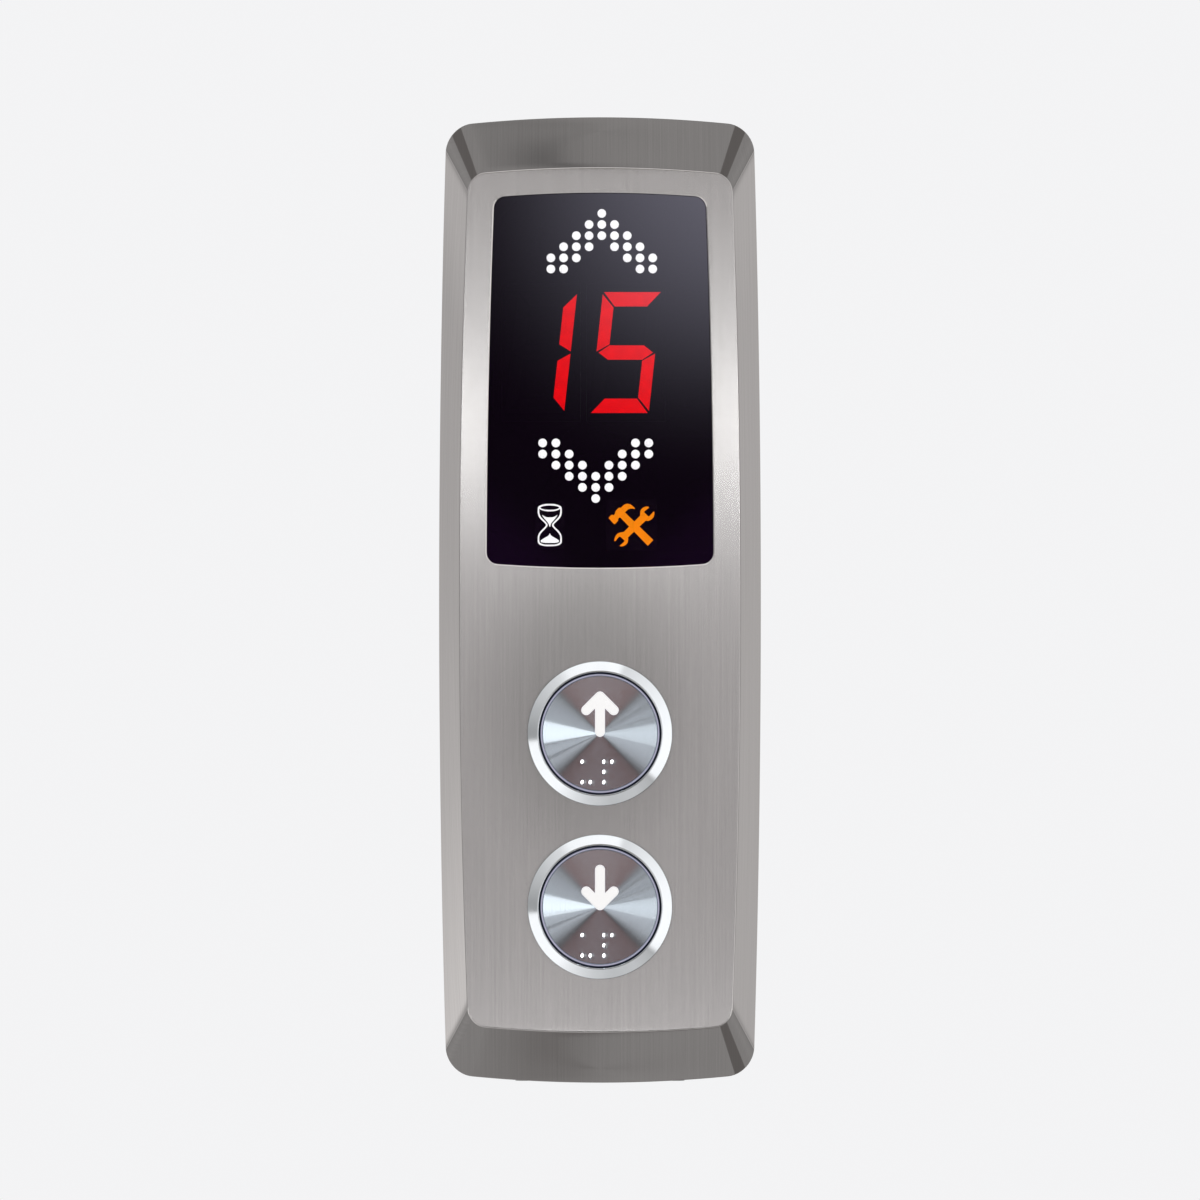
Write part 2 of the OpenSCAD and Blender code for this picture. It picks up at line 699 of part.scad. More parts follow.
module tens_digit_case() color("#18181c") digit_case(tens_x);
module tens_digit_lit() color("red") digit_bars(tens_x, TENS_LIT);
module tens_digit_dark() color("#2a1416") digit_bars(tens_x, TENS_DARK);
module units_digit_case() color("#18181c") digit_case(units_x);
module units_digit_lit() color("red") digit_bars(units_x, UNITS_LIT);
module units_digit_dark() color("#2a1416") digit_bars(units_x, UNITS_DARK);

// Places of the contact pins of both digits, in a row above and a row below each digit
module pin_places() digit_places()
    for (row = [-1, 1], i = [0 : pins_per_row - 1])
        translate([(i - (pins_per_row - 1)/2)*pin_pitch, row*pin_row_y]) children();

module digit_pins() color("silver") stand() translate([0, 0, board_back_z - 1])
    pin_places() cylinder(d = pin_d, h = board_t + 1);

// Hourglass, drawn 6.7 wide and 11.8 high as the right half of each outline, from the top down:
// the glass outside and inside, and the sand above and below. An oval rim closes the upper end.
GLASS_OUT = [[1, 5.9], [2.1, 5.7], [2.9, 5.35], [3.25, 5], [3.35, 4.5], [3.35, 3.4], [3.22, 2.75],
    [2.9, 2.1], [2.4, 1.5], [1.65, 0.8], [1.18, 0.32], [1.05, 0], [1.18, -0.32], [1.65, -0.8],
    [2.5, -1.65], [3, -2.3], [3.27, -2.95], [3.35, -3.5], [3.35, -4.7], [3.2, -5.1],
    [2.75, -5.5], [2, -5.75], [1, -5.9]];
GLASS_IN = [[1.3, 5.45], [2.3, 5.2], [2.75, 4.9], [2.92, 4.5], [2.92, 3.45], [2.78, 2.85],
    [2.45, 2.25], [1.9, 1.65], [1.2, 0.95], [0.72, 0.4], [0.6, 0], [0.72, -0.4], [1.2, -0.95],
    [2.05, -1.8], [2.6, -2.45], [2.85, -3.05], [2.92, -3.6], [2.92, -4.6], [2.75, -4.9],
    [2.3, -5.2], [1.3, -5.45]];
SAND_ABOVE = [[0.35, 2.15], [0.95, 2.2], [1.45, 2.4], [2.1, 2.8], [2.05, 2.55], [1.5, 1.8],
    [0.8, 1], [0.4, 0.5], [0.2, 0], [0.1, -0.45]];
SAND_BELOW = [[0.08, -2.4], [0.2, -2.75], [0.5, -3.05], [1.2, -3.45], [1.9, -3.85],
    [2.4, -4.15], [2.6, -4.45], [2.4, -4.8], [1.4, -4.98]];
rim_y = 4.85;
function both_halves(half) = let (n = len(half)) [for (i = [0 : 2*n - 1])
    let (p = half[i < n ? i : 2*n - 1 - i])
        [(i < n ? p.x : -p.x)*hourglass_w/6.7, p.y*hourglass_h/11.8]];
function rim_points(half_w, half_h) = [for (a = [0 : 12 : 348])
    [half_w*cos(a)*hourglass_w/6.7, (rim_y + half_h*sin(a))*hourglass_h/11.8]];

module hourglass_icon() color("white") stand() translate([-hourglass_x, icon_y])
    slab(icon_floor_z, lens_back_z) {
        difference() {
            polygon(both_halves(GLASS_OUT));
            polygon(both_halves(GLASS_IN));
        }
        difference() {
            polygon(rim_points(3, 1.04));
            polygon(rim_points(2.6, 0.6));
        }
        polygon(both_halves(SAND_ABOVE));
        polygon(both_halves(SAND_BELOW));
    }

// Crossed claw hammer and open-ended spanner, drawn in a square with sides of 13
HAMMER = [[-3.05, 2], [-3.35, 2.2], [-3.65, 1.95], [-3.8, 1.6], [-3.85, 1.2], [-4.2, 0.8],
    [-4.75, 0.25], [-5.05, 0.35], [-6.45, 1.95], [-6.4, 2.15], [-5.8, 2.8], [-5.5, 2.95],
    [-5.15, 2.75], [-4.75, 3.1], [-4.6, 3.7], [-4.4, 4.1], [-3.75, 4.8], [-3.5, 4.95],
    [-3.1, 4.85], [-2.6, 5.3], [-2, 5.8], [-1.2, 6.05], [-0.4, 5.9], [0.2, 5.5], [1, 4.7],
    [0.85, 4.55], [0.3, 4.65], [-0.3, 4.65], [-0.8, 4.5], [-1.3, 4.15], [-1.9, 3.6],
    [6.15, -4.25], [4.6, -5.85]];
SPANNER = [[-2.2, -1.95], [-3, -2.05], [-3.8, -2.3], [-4.4, -2.85], [-4.75, -3.6], [-4.9, -4.4],
    [-4.7, -4.6], [-4.4, -4.35], [-3.9, -3.7], [-3.4, -3.25], [-3, -3.4], [-2, -4.35],
    [-2, -4.6], [-2.5, -5.1], [-3.35, -5.8], [-3.3, -6], [-2.7, -6.05], [-2, -5.85],
    [-1.4, -5.4], [-1.05, -4.8], [-0.95, -4.1], [-1, -3.5], [4, 1.25], [4.6, 1.15], [5.1, 1.3],
    [5.7, 1.65], [6.2, 2.2], [6.45, 3], [6.45, 3.75], [6.2, 3.8], [5.5, 3], [4.95, 2.45],
    [4.7, 2.5], [3.6, 3.6], [3.6, 3.85], [4.2, 4.35], [4.9, 4.85], [4.85, 5.1], [4.6, 5.25],
    [3.9, 5.2], [3.3, 4.95], [2.8, 4.55], [2.5, 4], [2.45, 3.3], [2.45, 2.65]];

module tools_icon() color("#ed7d00") stand() translate([tools_x, icon_y])
    slab(icon_floor_z, lens_back_z) scale(tools_size/13) {
        polygon(HAMMER);
        polygon(SPANNER);
    }

module display_leds() color("#e8e2c8") stand() translate([0, 0, mask_back_z]) {
    all_dot_places() translate([-dot_led_w/2, -dot_led_w/4, 0]) cube([dot_led_w, dot_led_w/2, led_h]);
    for (x = [-hourglass_x, tools_x]) translate([x - icon_led_w/2, icon_y - led_d/2, 0])
        cube([icon_led_w, led_d, led_h]);
}

// Control board

module control_board() color("#1c5c38") stand() difference() {
    half_w = stud_x(stud_low_y) + board_edge;
    slab(board_back_z, mask_back_z)
        translate([-half_w, board_low_y]) square([2*half_w, board_high_y - board_low_y]);
    translate([0, 0, board_back_z - past]) {
        for (s = STUDS) translate(s) cylinder(d = stud_d + 2*stud_gap, h = board_t + 2*past);
        pin_places() cylinder(d = pin_d + 2*fit, h = board_t + 2*past, $fn = 16);
    }
}

module board_nuts() color("silver") stand()
    for (s = STUDS) translate([s.x, s.y, board_back_z - board_nut_h])
        hex_nut(nut_af, stud_d + 2*fit, board_nut_h);

// Flat chip on the back of the control board with bent leads along two or four sides
module chip(size, leads, pitch, sides) {
    translate([-size.x/2, -size.y/2, -size.z]) cube([size.x, size.y, size.z - lead_t/2]);
    for (turn = [0 : 360/sides : 359]) rotate(turn)
        for (i = [0 : leads - 1])
            translate([(i - (leads - 1)/2)*pitch - lead_t, size.y/2 - lead_t, -lead_t])
                cube([2*lead_t, 1 + lead_t, lead_t]);
}

module processor() color("#26262a") stand()
    translate([0, digit_y, board_back_z]) chip(PROCESSOR_SIZE, 11, 0.9, 4);

module driver_chips() color("#26262a") stand()
    for (side = [-1, 1])
        translate([side*driver_x, digit_y, board_back_z]) chip(DRIVER_SIZE, 7, 1.27, 2);

module capacitors() color("#b9bcc2") stand()
    for (side = [-1, 1])
        translate([side*capacitor_x, board_low_y + capacitor_rise, board_back_z - capacitor_foot_h]) {
            translate([-capacitor_foot/2, -capacitor_foot/2, 0])
                cube([capacitor_foot, capacitor_foot, capacitor_foot_h]);
            translate([0, 0, -capacitor_h]) cylinder(d = capacitor_d, h = capacitor_h);
        }

// Pluggable header and its plug, with the mouth towards +x and the board's back at z = 0
module header() difference() {
    translate([0, -header_w/2, -header_h]) cube([header_len, header_w, header_h]);
    translate([header_len - plug_nose, -header_w/2 + header_wall, -header_h + header_wall])
        cube([plug_nose + past, header_w - 2*header_wall, header_h - 2*header_wall]);
}

module plug() {
    inset = header_wall + 2*fit;
    translate([header_len, -header_w/2 + plug_step, plug_step - header_h])
        cube([plug_len, header_w - 2*plug_step, header_h - 2*plug_step]);
    translate([header_len - plug_nose + 2*fit, -header_w/2 + inset, inset - header_h])
        cube([plug_nose, header_w - 2*inset, header_h - 2*inset]);
}

module socket_places()
    for (side = [-1, 1])
        translate([side*socket_x, board_low_y + header_len, board_back_z]) rotate(-90) children();

module button_connector_place(y, side)
    translate([side*header_start, y, button_board_back_z]) rotate(side > 0 ? 0 : 180) children();

// Terminal block: each way has a square mouth for a wire end and a pocket over its clamp screw
module cable_terminal() color("#2f7d4f") stand() difference() {
    w = terminal_ways*terminal_pitch + 2;
    translate([-w/2, board_low_y, board_back_z - terminal_h]) cube([w, terminal_len, terminal_h]);
    for (i = [0 : terminal_ways - 1])
        translate([(i - (terminal_ways - 1)/2)*terminal_pitch, board_low_y, board_back_z - terminal_h]) {
            translate([-terminal_mouth/2, -past, terminal_h/2 - terminal_mouth/2])
                cube([terminal_mouth, terminal_len/2 + past, terminal_mouth]);
            translate([-terminal_screw_w/2, terminal_len*0.62, -past])
                cube([terminal_screw_w, terminal_screw_w, 1 + past]);
        }
}

module button_sockets() color("ivory") stand() socket_places() header();

module harness_plugs() color("white") stand() {
    socket_places() plug();
    button_connector_place(up_button_y, -1) plug();
    button_connector_place(down_button_y, 1) plug();
}

// Four wires side by side along a route
module harness(route) stand() for (w = WIRES)
    tube(smooth([for (p = route) [p[0] + w*wire_pitch*p[3], p[1] + w*wire_pitch*p[4], p[2]]],
        wire_steps), wire_d/2, wire_sides, [0, 0, 1]);

// Push button, each piece drawn about the button's own axis

module button(y) stand() translate([0, y, 0]) children();

module bezel() {
    ridges = [for (i = [0 : thread_turns - 1], k = [0 : 1])
        [barrel_r - (1 - k)*thread_depth, barrel_back_z + (i + 0.2 + 0.5*k)*thread_pitch]];
    rotate_extrude($fn = 96) polygon(concat(
        [[bore_r, barrel_back_z], [barrel_r - thread_depth, barrel_back_z]], ridges,
        [[barrel_r - thread_depth, barrel_back_z + thread_turns*thread_pitch],
         [barrel_r, barrel_back_z + thread_turns*thread_pitch + thread_depth],
         [barrel_r, panel_depth + gasket_t], [bezel_r, panel_depth + gasket_t],
         [bezel_r, bezel_top_z - bezel_edge], [bezel_r - bezel_edge, bezel_top_z],
         [bore_r + bezel_edge/2, bezel_top_z], [bore_r, bezel_top_z - bezel_edge/2]]));
}

module gasket() translate([0, 0, panel_depth]) difference() {
    cylinder(r = bezel_r - gasket_inset, h = gasket_t, $fn = 96);
    translate([0, 0, -past]) cylinder(r = barrel_r + fit, h = gasket_t + 2*past, $fn = 96);
}

module clamp_nut() translate([0, 0, inner_z - nut_t]) difference() {
    cylinder(d = nut_d, h = nut_t, $fn = 96);
    translate([0, 0, -past]) cylinder(r = barrel_r + fit, h = nut_t + 2*past, $fn = 96);
    for (a = [0 : 45 : 315]) rotate(a)
        translate([nut_d/2 - nut_notch_depth, -nut_notch_w/2, -past])
        cube([nut_notch_depth + past, nut_notch_w, nut_t + 2*past]);
}

// Stroke with round ends between two points
module stroke(a, b, w) {
    for (p = [a, b]) translate(p) circle(d = w);
    translate(a) rotate(atan2(b.y - a.y, b.x - a.x)) translate([0, -w/2]) square([norm(b - a), w]);
}

// Arrow about its own middle, grown by a clearance on all sides
module arrow_sign(grow) {
    apex = arrow_h/2 - stroke_w/2;
    reach = arrow_w/2 - stroke_w/2;
    w = stroke_w + 2*grow;
    stroke([0, -apex], [0, apex], w);
    for (side = [-1, 1]) stroke([0, apex], [side*reach, apex - reach], w);
}

module cap(turn) difference() {
    rotate_extrude($fn = 96) polygon([[0, cap_back_z], [cap_r - fit, cap_back_z],
        [cap_r - fit, cap_top_z - cap_edge], [cap_r - fit - cap_edge, cap_top_z], [0, cap_top_z]]);
    slab(cap_back_z - past, cap_top_z + past)
        translate([0, arrow_y]) rotate(turn) arrow_sign(fit);
}

module arrow(turn) slab(cap_back_z, cap_top_z + arrow_proud)
    translate([0, arrow_y]) rotate(turn) arrow_sign(0);

module braille() {
    r = braille_d/2;
    ball = (r*r + braille_h*braille_h)/(2*braille_h);
    for (cell = [0 : len(BRAILLE_CELLS) - 1], dot = BRAILLE_CELLS[cell])
        translate([BRAILLE_START.x + cell*braille_cell_pitch + (dot > 3 ? braille_pitch_x : 0),
            BRAILLE_START.y - (dot - 1)%3*braille_pitch_y, cap_top_z])
            intersection() {
                translate([0, 0, braille_h - ball]) sphere(r = ball);
                cylinder(r = 2*r, h = 2*braille_h);
            }
}

// Clear carrier of the cap: its edge shows as the light ring, and its stem works the switch
module halo() {
    rotate_extrude($fn = 96) polygon([[0, stem_end_z], [stem_d/2, stem_end_z],
        [stem_d/2, halo_back_z], [halo_r - skirt_w, halo_back_z],
        [halo_r - skirt_w, halo_back_z - skirt_len], [halo_r, halo_back_z - skirt_len],
        [halo_r, cap_top_z - halo_below_cap], [cap_r, cap_top_z - halo_below_cap],
        [cap_r, cap_back_z],
        [0, cap_back_z]]);
    for (a = LEG_ANGLES) rotate(a) {
        translate([leg_r - leg_t/2, -leg_w/2, guide_back_z - hook_gap - hook_h])
            cube([leg_t, leg_w, halo_back_z + halo_floor_t/2 - guide_back_z + hook_gap + hook_h]);
        translate([leg_r - leg_t/2, -leg_w/2, guide_back_z - hook_gap - hook_h])
            cube([leg_t + hook_out, leg_w, hook_h]);
    }
}

// Return spring: its end turns lie flat and the turns between them rise evenly
module spring() {
    low = guide_top_z + spring_wire/2;
    rise = halo_back_z - guide_top_z - spring_wire;
    tube([for (i = [0 : spring_turns*spring_steps])
        let (turn = i/spring_steps, a = 360*turn,
            t = min(1, max(0, (turn - 0.75)/(spring_turns - 1.5))))
        [spring_d/2*cos(a), spring_d/2*sin(a), low + rise*t]],
        spring_wire/2, spring_sides, [0, 0, 1]);
}

module housing() {
    difference() {
        union() {
            translate([0, 0, housing_back_z]) cylinder(r = housing_r, h = guide_top_z - housing_back_z,
                $fn = 96);
            translate([0, 0, barrel_back_z - housing_lip_t])
                cylinder(r = barrel_r - thread_depth, h = housing_lip_t, $fn = 96);
        }
        translate([0, 0, housing_back_z - past])
            cylinder(r = housing_r - housing_wall, h = guide_back_z - housing_back_z + past, $fn = 96);
        translate([0, 0, guide_back_z - past]) {
            cylinder(d = stem_d + 2*stem_gap, h = guide_t + 2*past);
            for (a = LED_ANGLES) rotate(a) translate([led_r, 0]) cylinder(d = led_window_d,
                h = guide_t + 2*past);
            for (a = LEG_ANGLES) rotate(a)
                translate([leg_r - leg_t/2 - leg_slot_gap, -leg_w/2 - leg_slot_gap, 0])
                cube([leg_t + 2*leg_slot_gap, leg_w + 2*leg_slot_gap, guide_t + 2*past]);
        }
    }
    for (a = PILLAR_ANGLES) rotate(a) translate([pillar_r, 0]) {
        translate([0, 0, button_board_front_z])
            cylinder(d = pillar_d, h = guide_back_z + guide_t/2 - button_board_front_z);
        translate([0, 0, button_board_back_z - stake_tail])
            cylinder(d = stake_d, h = board_t + 2*stake_tail);
    }
}

module button_board() difference() {
    translate([0, 0, button_board_back_z]) cylinder(r = button_board_r, h = board_t, $fn = 96);
    for (a = PILLAR_ANGLES) rotate(a) translate([pillar_r, 0, button_board_back_z - past])
        cylinder(d = stake_d + 2*fit, h = board_t + 2*past);
}

module switch_body() difference() {
    translate([-switch_w/2, -switch_w/2, button_board_front_z]) cube([switch_w, switch_w, switch_h]);
    translate([0, 0, button_board_front_z + switch_floor])
        cylinder(d = plunger_d + 2*plunger_gap, h = switch_h);
}

module plunger() translate([0, 0, plunger_back_z])
    cylinder(d = plunger_d, h = stem_end_z - plunger_back_z);

module button_leds() for (a = LED_ANGLES) rotate(a)
    translate([led_r - icon_led_w/2, -led_d/2, button_board_front_z])
    cube([icon_led_w, led_d, button_led_h]);

module up_bezel() color("#dfe2e6") button(up_button_y) bezel();
module up_gasket() color("#252525") button(up_button_y) gasket();
module up_clamp_nut() color("#a8abb0") button(up_button_y) clamp_nut();
module up_cap() color("#b6b4b4") button(up_button_y) cap(0);
module up_arrow() color("white") button(up_button_y) arrow(0);
module up_braille() color("#d8d8da") button(up_button_y) braille();
module up_halo() color("#b9b6d8") button(up_button_y) halo();
module up_spring() color("#9a9da2") button(up_button_y) spring();
module up_housing() color("#1b1b1d") button(up_button_y) housing();
module up_board() color("#1c5c38") button(up_button_y) button_board();
module up_switch() color("#303034") button(up_button_y) switch_body();
module up_plunger() color("#b03030") button(up_button_y) plunger();
module up_leds() color("#e8e2c8") button(up_button_y) button_leds();
module up_connector() color("ivory") stand() button_connector_place(up_button_y, -1) header();
module up_harness() color("#c03a2b") harness(UP_ROUTE);

module down_bezel() color("#dfe2e6") button(down_button_y) bezel();
module down_gasket() color("#252525") button(down_button_y) gasket();
module down_clamp_nut() color("#a8abb0") button(down_button_y) clamp_nut();
module down_cap() color("#b6b4b4") button(down_button_y) cap(180);
module down_arrow() color("white") button(down_button_y) arrow(180);
module down_braille() color("#d8d8da") button(down_button_y) braille();
module down_halo() color("#b9b6d8") button(down_button_y) halo();
module down_spring() color("#9a9da2") button(down_button_y) spring();
module down_housing() color("#1b1b1d") button(down_button_y) housing();
module down_board() color("#1c5c38") button(down_button_y) button_board();
module down_switch() color("#303034") button(down_button_y) switch_body();
module down_plunger() color("#b03030") button(down_button_y) plunger();
module down_leds() color("#e8e2c8") button(down_button_y) button_leds();
module down_connector() color("ivory") stand() button_connector_place(down_button_y, 1) header();
module down_harness() color("#2d6fb5") harness(DOWN_ROUTE);

faceplate();
welded_fittings();
back_plate();
cable_grommet();
cover_screws();
earth_stud();
earth_nut();
window_lens();
window_tape();
light_mask();
up_arrow_dots();
down_arrow_dots();
tens_digit_case();
tens_digit_lit();
tens_digit_dark();
units_digit_case();
units_digit_lit();
units_digit_dark();
digit_pins();
hourglass_icon();
tools_icon();
display_leds();
control_board();
board_nuts();
processor();
driver_chips();
capacitors();
cable_terminal();
button_sockets();
harness_plugs();
up_bezel();
up_gasket();
up_clamp_nut();
up_cap();
up_arrow();
up_braille();
up_halo();
up_spring();
up_housing();
up_board();
up_switch();
up_plunger();
up_leds();
up_connector();
up_harness();
down_bezel();
down_gasket();
down_clamp_nut();
down_cap();
down_arrow();
down_braille();
down_halo();
down_spring();
down_housing();
down_board();
down_switch();
down_plunger();
down_leds();
down_connector();
down_harness();
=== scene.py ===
# %% [markdown]
# # A lift's landing call station in stainless steel
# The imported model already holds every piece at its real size. This lesson dresses it: the folded
# faceplate, the turned bezels, the braille, the springs and the wires are modelled again as finer
# surfaces, and every piece gets a finish worked out from its own coordinates. Lengths are in
# metres, the wall is the plane Y = 0, the front looks towards -Y and Z is up.

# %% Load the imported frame
import json
import math

import bmesh
import bpy
import numpy as np
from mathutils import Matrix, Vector
from mathutils.geometry import tessellate_polygon

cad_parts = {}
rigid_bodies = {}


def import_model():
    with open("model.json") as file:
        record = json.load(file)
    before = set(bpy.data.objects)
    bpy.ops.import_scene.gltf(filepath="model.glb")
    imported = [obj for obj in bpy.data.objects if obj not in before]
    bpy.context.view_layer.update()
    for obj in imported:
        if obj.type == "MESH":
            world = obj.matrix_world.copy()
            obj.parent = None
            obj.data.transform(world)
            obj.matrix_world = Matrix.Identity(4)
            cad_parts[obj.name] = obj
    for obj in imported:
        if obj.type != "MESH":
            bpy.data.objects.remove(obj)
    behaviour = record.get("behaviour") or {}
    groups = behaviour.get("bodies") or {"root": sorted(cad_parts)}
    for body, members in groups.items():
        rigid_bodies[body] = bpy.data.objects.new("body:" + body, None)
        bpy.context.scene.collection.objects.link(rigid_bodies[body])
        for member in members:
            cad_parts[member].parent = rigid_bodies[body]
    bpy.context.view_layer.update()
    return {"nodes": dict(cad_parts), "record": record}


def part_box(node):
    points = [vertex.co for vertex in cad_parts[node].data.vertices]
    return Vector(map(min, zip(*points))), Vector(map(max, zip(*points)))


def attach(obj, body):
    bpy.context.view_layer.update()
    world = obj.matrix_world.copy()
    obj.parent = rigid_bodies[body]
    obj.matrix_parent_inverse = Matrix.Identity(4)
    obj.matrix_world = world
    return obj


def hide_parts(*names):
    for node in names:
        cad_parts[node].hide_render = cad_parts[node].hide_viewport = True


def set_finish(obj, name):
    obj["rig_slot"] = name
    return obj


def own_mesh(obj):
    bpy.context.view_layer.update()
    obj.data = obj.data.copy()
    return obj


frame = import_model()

MM = 0.001

# %% [markdown]
# ## Where things are
# The scene takes its measures from the frame, so that it follows the model. A node's box gives the
# panel's height and depth, the radii of turned pieces and the middle of each button. Only what a
# box can't tell, such as the radius of a bowed edge, is written here as a named length.

# %% Measures
def node_low(node):
    return np.array(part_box(node)[0])


def node_high(node):
    return np.array(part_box(node)[1])


def node_middle(node):
    return (node_low(node) + node_high(node)) / 2


panel_half_w = node_high("faceplate")[0]
panel_half_h = node_high("faceplate")[2]
panel_depth = -node_low("faceplate")[1]
sheet_t = 1.5 * MM
rim_h = 6 * MM
bevel_side = 5.8 * MM
bevel_end = 14.5 * MM
panel_corner_r = 7.5 * MM
face_corner_r = 5 * MM
panel_side_r = 4.45
face_side_r = 3.0
end_r = 0.4
window_w = 63.2 * MM
window_h = 104.5 * MM
window_drop = 21.5 * MM
window_high = panel_half_h - window_drop
window_low = window_high - window_h
window_corner_r = 3 * MM
BUTTONS = {name: node_middle(name + "_bezel")[2] for name in ("up", "down")}
print("panel", panel_half_w * 2, panel_half_h * 2, "buttons at", BUTTONS)

# %% [markdown]
# ## Camera
# The photograph shows the panel square on, with no side of its rim in sight, so a long lens from
# four metres comes closest. The picture is 335 mm wide at a level halfway up the bevels.

# %% Camera
camera_distance = 4.0
picture_width = 335 * MM
picture_level = 13 * MM

camera_data = bpy.data.cameras.new("long_lens")
camera = bpy.data.objects.new("long_lens", camera_data)
bpy.context.scene.collection.objects.link(camera)
camera.location = (0, -camera_distance, 0)
camera.rotation_euler = (math.radians(90), 0, 0)
camera_data.sensor_width = 36
camera_data.lens = camera_data.sensor_width * (camera_distance - picture_level) / picture_width
camera_data.clip_start = 0.1
camera_data.clip_end = 50
bpy.context.scene.camera = camera
bpy.context.scene.view_settings.view_transform = "Standard"
print("lens", round(camera_data.lens), "mm")

# %% [markdown]
# ## Shader maths as Python
# A finish is an expression of the place on the surface. Class Value wraps one output socket and
# turns Python's operators into Math nodes, and Shader.node adds any other node from its type, its
# settings and its inputs. This keeps a finish as readable as a formula.

# %% Shader maths
class Value:
    """One output socket. An operator on it adds a Math node and gives that node's output."""

    def __init__(self, shader, socket):
        self.shader = shader
        self.socket = socket

    def math(self, operation, *others):
        return self.shader.node("ShaderNodeMath", {"operation": operation}, [self, *others])

    def __add__(self, other):
        return self.math("ADD", other)

    def __sub__(self, other):
        return self.math("SUBTRACT", other)

    def __mul__(self, other):
        return self.math("MULTIPLY", other)

    def __truediv__(self, other):
        return self.math("DIVIDE", other)

    def __pow__(self, other):
        return self.math("POWER", other)

    def __neg__(self):
        return self * -1

    def __abs__(self):
        return self.math("ABSOLUTE")

    def __rsub__(self, other):
        return -self + other

    def __rtruediv__(self, other):
        return (self ** -1) * other

    __radd__ = __add__
    __rmul__ = __mul__

    def ease(self, low, high):
        """0 below low, 1 above high, and a smooth step between them."""
        return self.shader.node(
            "ShaderNodeMapRange", {"interpolation_type": "SMOOTHSTEP"},
            {"Value": self, "From Min": low, "From Max": high})


class Shader:
    """A node tree that is written with expressions."""

    def __init__(self, tree):
        self.tree = tree
        tree.nodes.clear()

    def node(self, kind, settings=None, inputs=(), output=0):
        """Adds a node, sets it up, then fills its sockets with values or links."""
        made = self.tree.nodes.new(kind)
        for name, value in (settings or {}).items():
            setattr(made, name, value)
        for key, value in inputs.items() if isinstance(inputs, dict) else enumerate(inputs):
            if isinstance(value, Value):
                self.tree.links.new(value.socket, made.inputs[key])
            else:
                made.inputs[key].default_value = value
        return Value(self, made.outputs[output]) if made.outputs else None

    def axes(self, vector):
        """The three components of a vector."""
        parts = self.node("ShaderNodeSeparateXYZ", None, [vector]).socket.node
        return [Value(self, socket) for socket in parts.outputs]

    def vector(self, x, y, z):
        return self.node("ShaderNodeCombineXYZ", None, [x, y, z])

    def mix(self, share, a, b):
        """Colour a where share is 0 and b where it is 1."""
        return self.node("ShaderNodeMix", {"data_type": "RGBA"}, {0: share, 6: a, 7: b}, 2)

    def ramp(self, share, stops):
        """Colour along a list of (place, colour)."""
        out = self.node("ShaderNodeValToRGB", None, [share])
        ramp = out.socket.node.color_ramp
        while len(ramp.elements) < len(stops):
            ramp.elements.new(1)
        for element, (place, colour) in zip(ramp.elements, stops):
            element.position = place
            element.color = colour
        return out


def rgb(r, g, b):
    return (r, g, b, 1)


def grey(level):
    return (level, level, level, 1)


print("shader maths ready")

# %% [markdown]
# ## The studio
# Polished and brushed steel show their surroundings more than themselves, so the look of the
# panel is decided here. The surroundings are one room around the panel, written as a formula of
# the direction. How far a direction leans away from the view axis tells which piece mirrors it, so
# the room has three zones. Nearly straight ahead is a fan of light between a dim ceiling and a dim
# floor: the brushed face spreads it, and the turned caps show it as wedges. Around that lies a ring
# of soft boxes for the sloping bezels. Farthest out are the walls that the bevels mirror, with a
# part for each side, each corner and each end. The camera itself sees a plain pale backdrop.

# %% Surroundings
backdrop = rgb(0.90, 0.90, 0.91)
level_front = rgb(0.560, 0.558, 0.566)
level_low = rgb(0.78, 0.777, 0.788)


def turn(degrees):
    """Place on a ramp of the angle round the view axis: 0 is right, 90 up and 180 left."""
    return ((degrees + 180) % 360) / 360


world = bpy.data.worlds.new("studio")
world.use_nodes = True
bpy.context.scene.world = world
room = Shader(world.node_tree)
toward = room.node("ShaderNodeTexCoord", output="Generated")
dx, dy, dz = room.axes(toward)
front, steep = -dy, abs(dz)
upward = dz.math("GREATER_THAN", 0.0)
nothing = grey(0.0)

slant = (dz * dx.math("SIGN")).math("ARCTAN2", abs(dx)) / math.radians(180) + 0.5
dim_end = room.mix(upward, rgb(0.060, 0.056, 0.054), rgb(0.230, 0.224, 0.205))
fan_level = room.ramp(slant, [
    (0.0, nothing), (0.235, nothing), (0.30, grey(0.75)), (0.38, grey(1)), (0.566, grey(1.25)),
    (0.58, nothing), (0.594, grey(1.25)), (0.643, grey(1.2)), (0.658, nothing), (0.673, grey(1)),
    (0.70, grey(0.8)), (0.765, nothing), (1.0, nothing)])
level = room.mix((-dz).ease(-0.02, 0.08), level_front, level_low)
fan = room.mix(fan_level, dim_end, level)
around = dz.math("ARCTAN2", dx) / math.radians(360) + 0.5
boxes = room.ramp(around, [
    (turn(-179), grey(0.36)), (turn(-174), grey(0.36)), (turn(-172.5), grey(1.10)),
    (turn(-128), grey(1.12)), (turn(-112), grey(0.86)), (turn(-98), grey(0.70)),
    (turn(-80), grey(0.58)), (turn(-60), grey(0.60)), (turn(-45), grey(0.50)),
    (turn(-42), grey(0.40)), (turn(-38), grey(1.10)), (turn(-20), grey(1.14)),
    (turn(0), grey(1.14)), (turn(20), grey(1.08)), (turn(40), grey(0.96)), (turn(60), grey(0.84)),
    (turn(69), grey(0.80)), (turn(73), grey(1.12)), (turn(100), grey(1.10)),
    (turn(117), grey(1.06)), (turn(126), grey(0.80)), (turn(145), grey(0.64)),
    (turn(165), grey(0.48)), (turn(179), grey(0.36))])
along_side = dz * 5 + 0.5
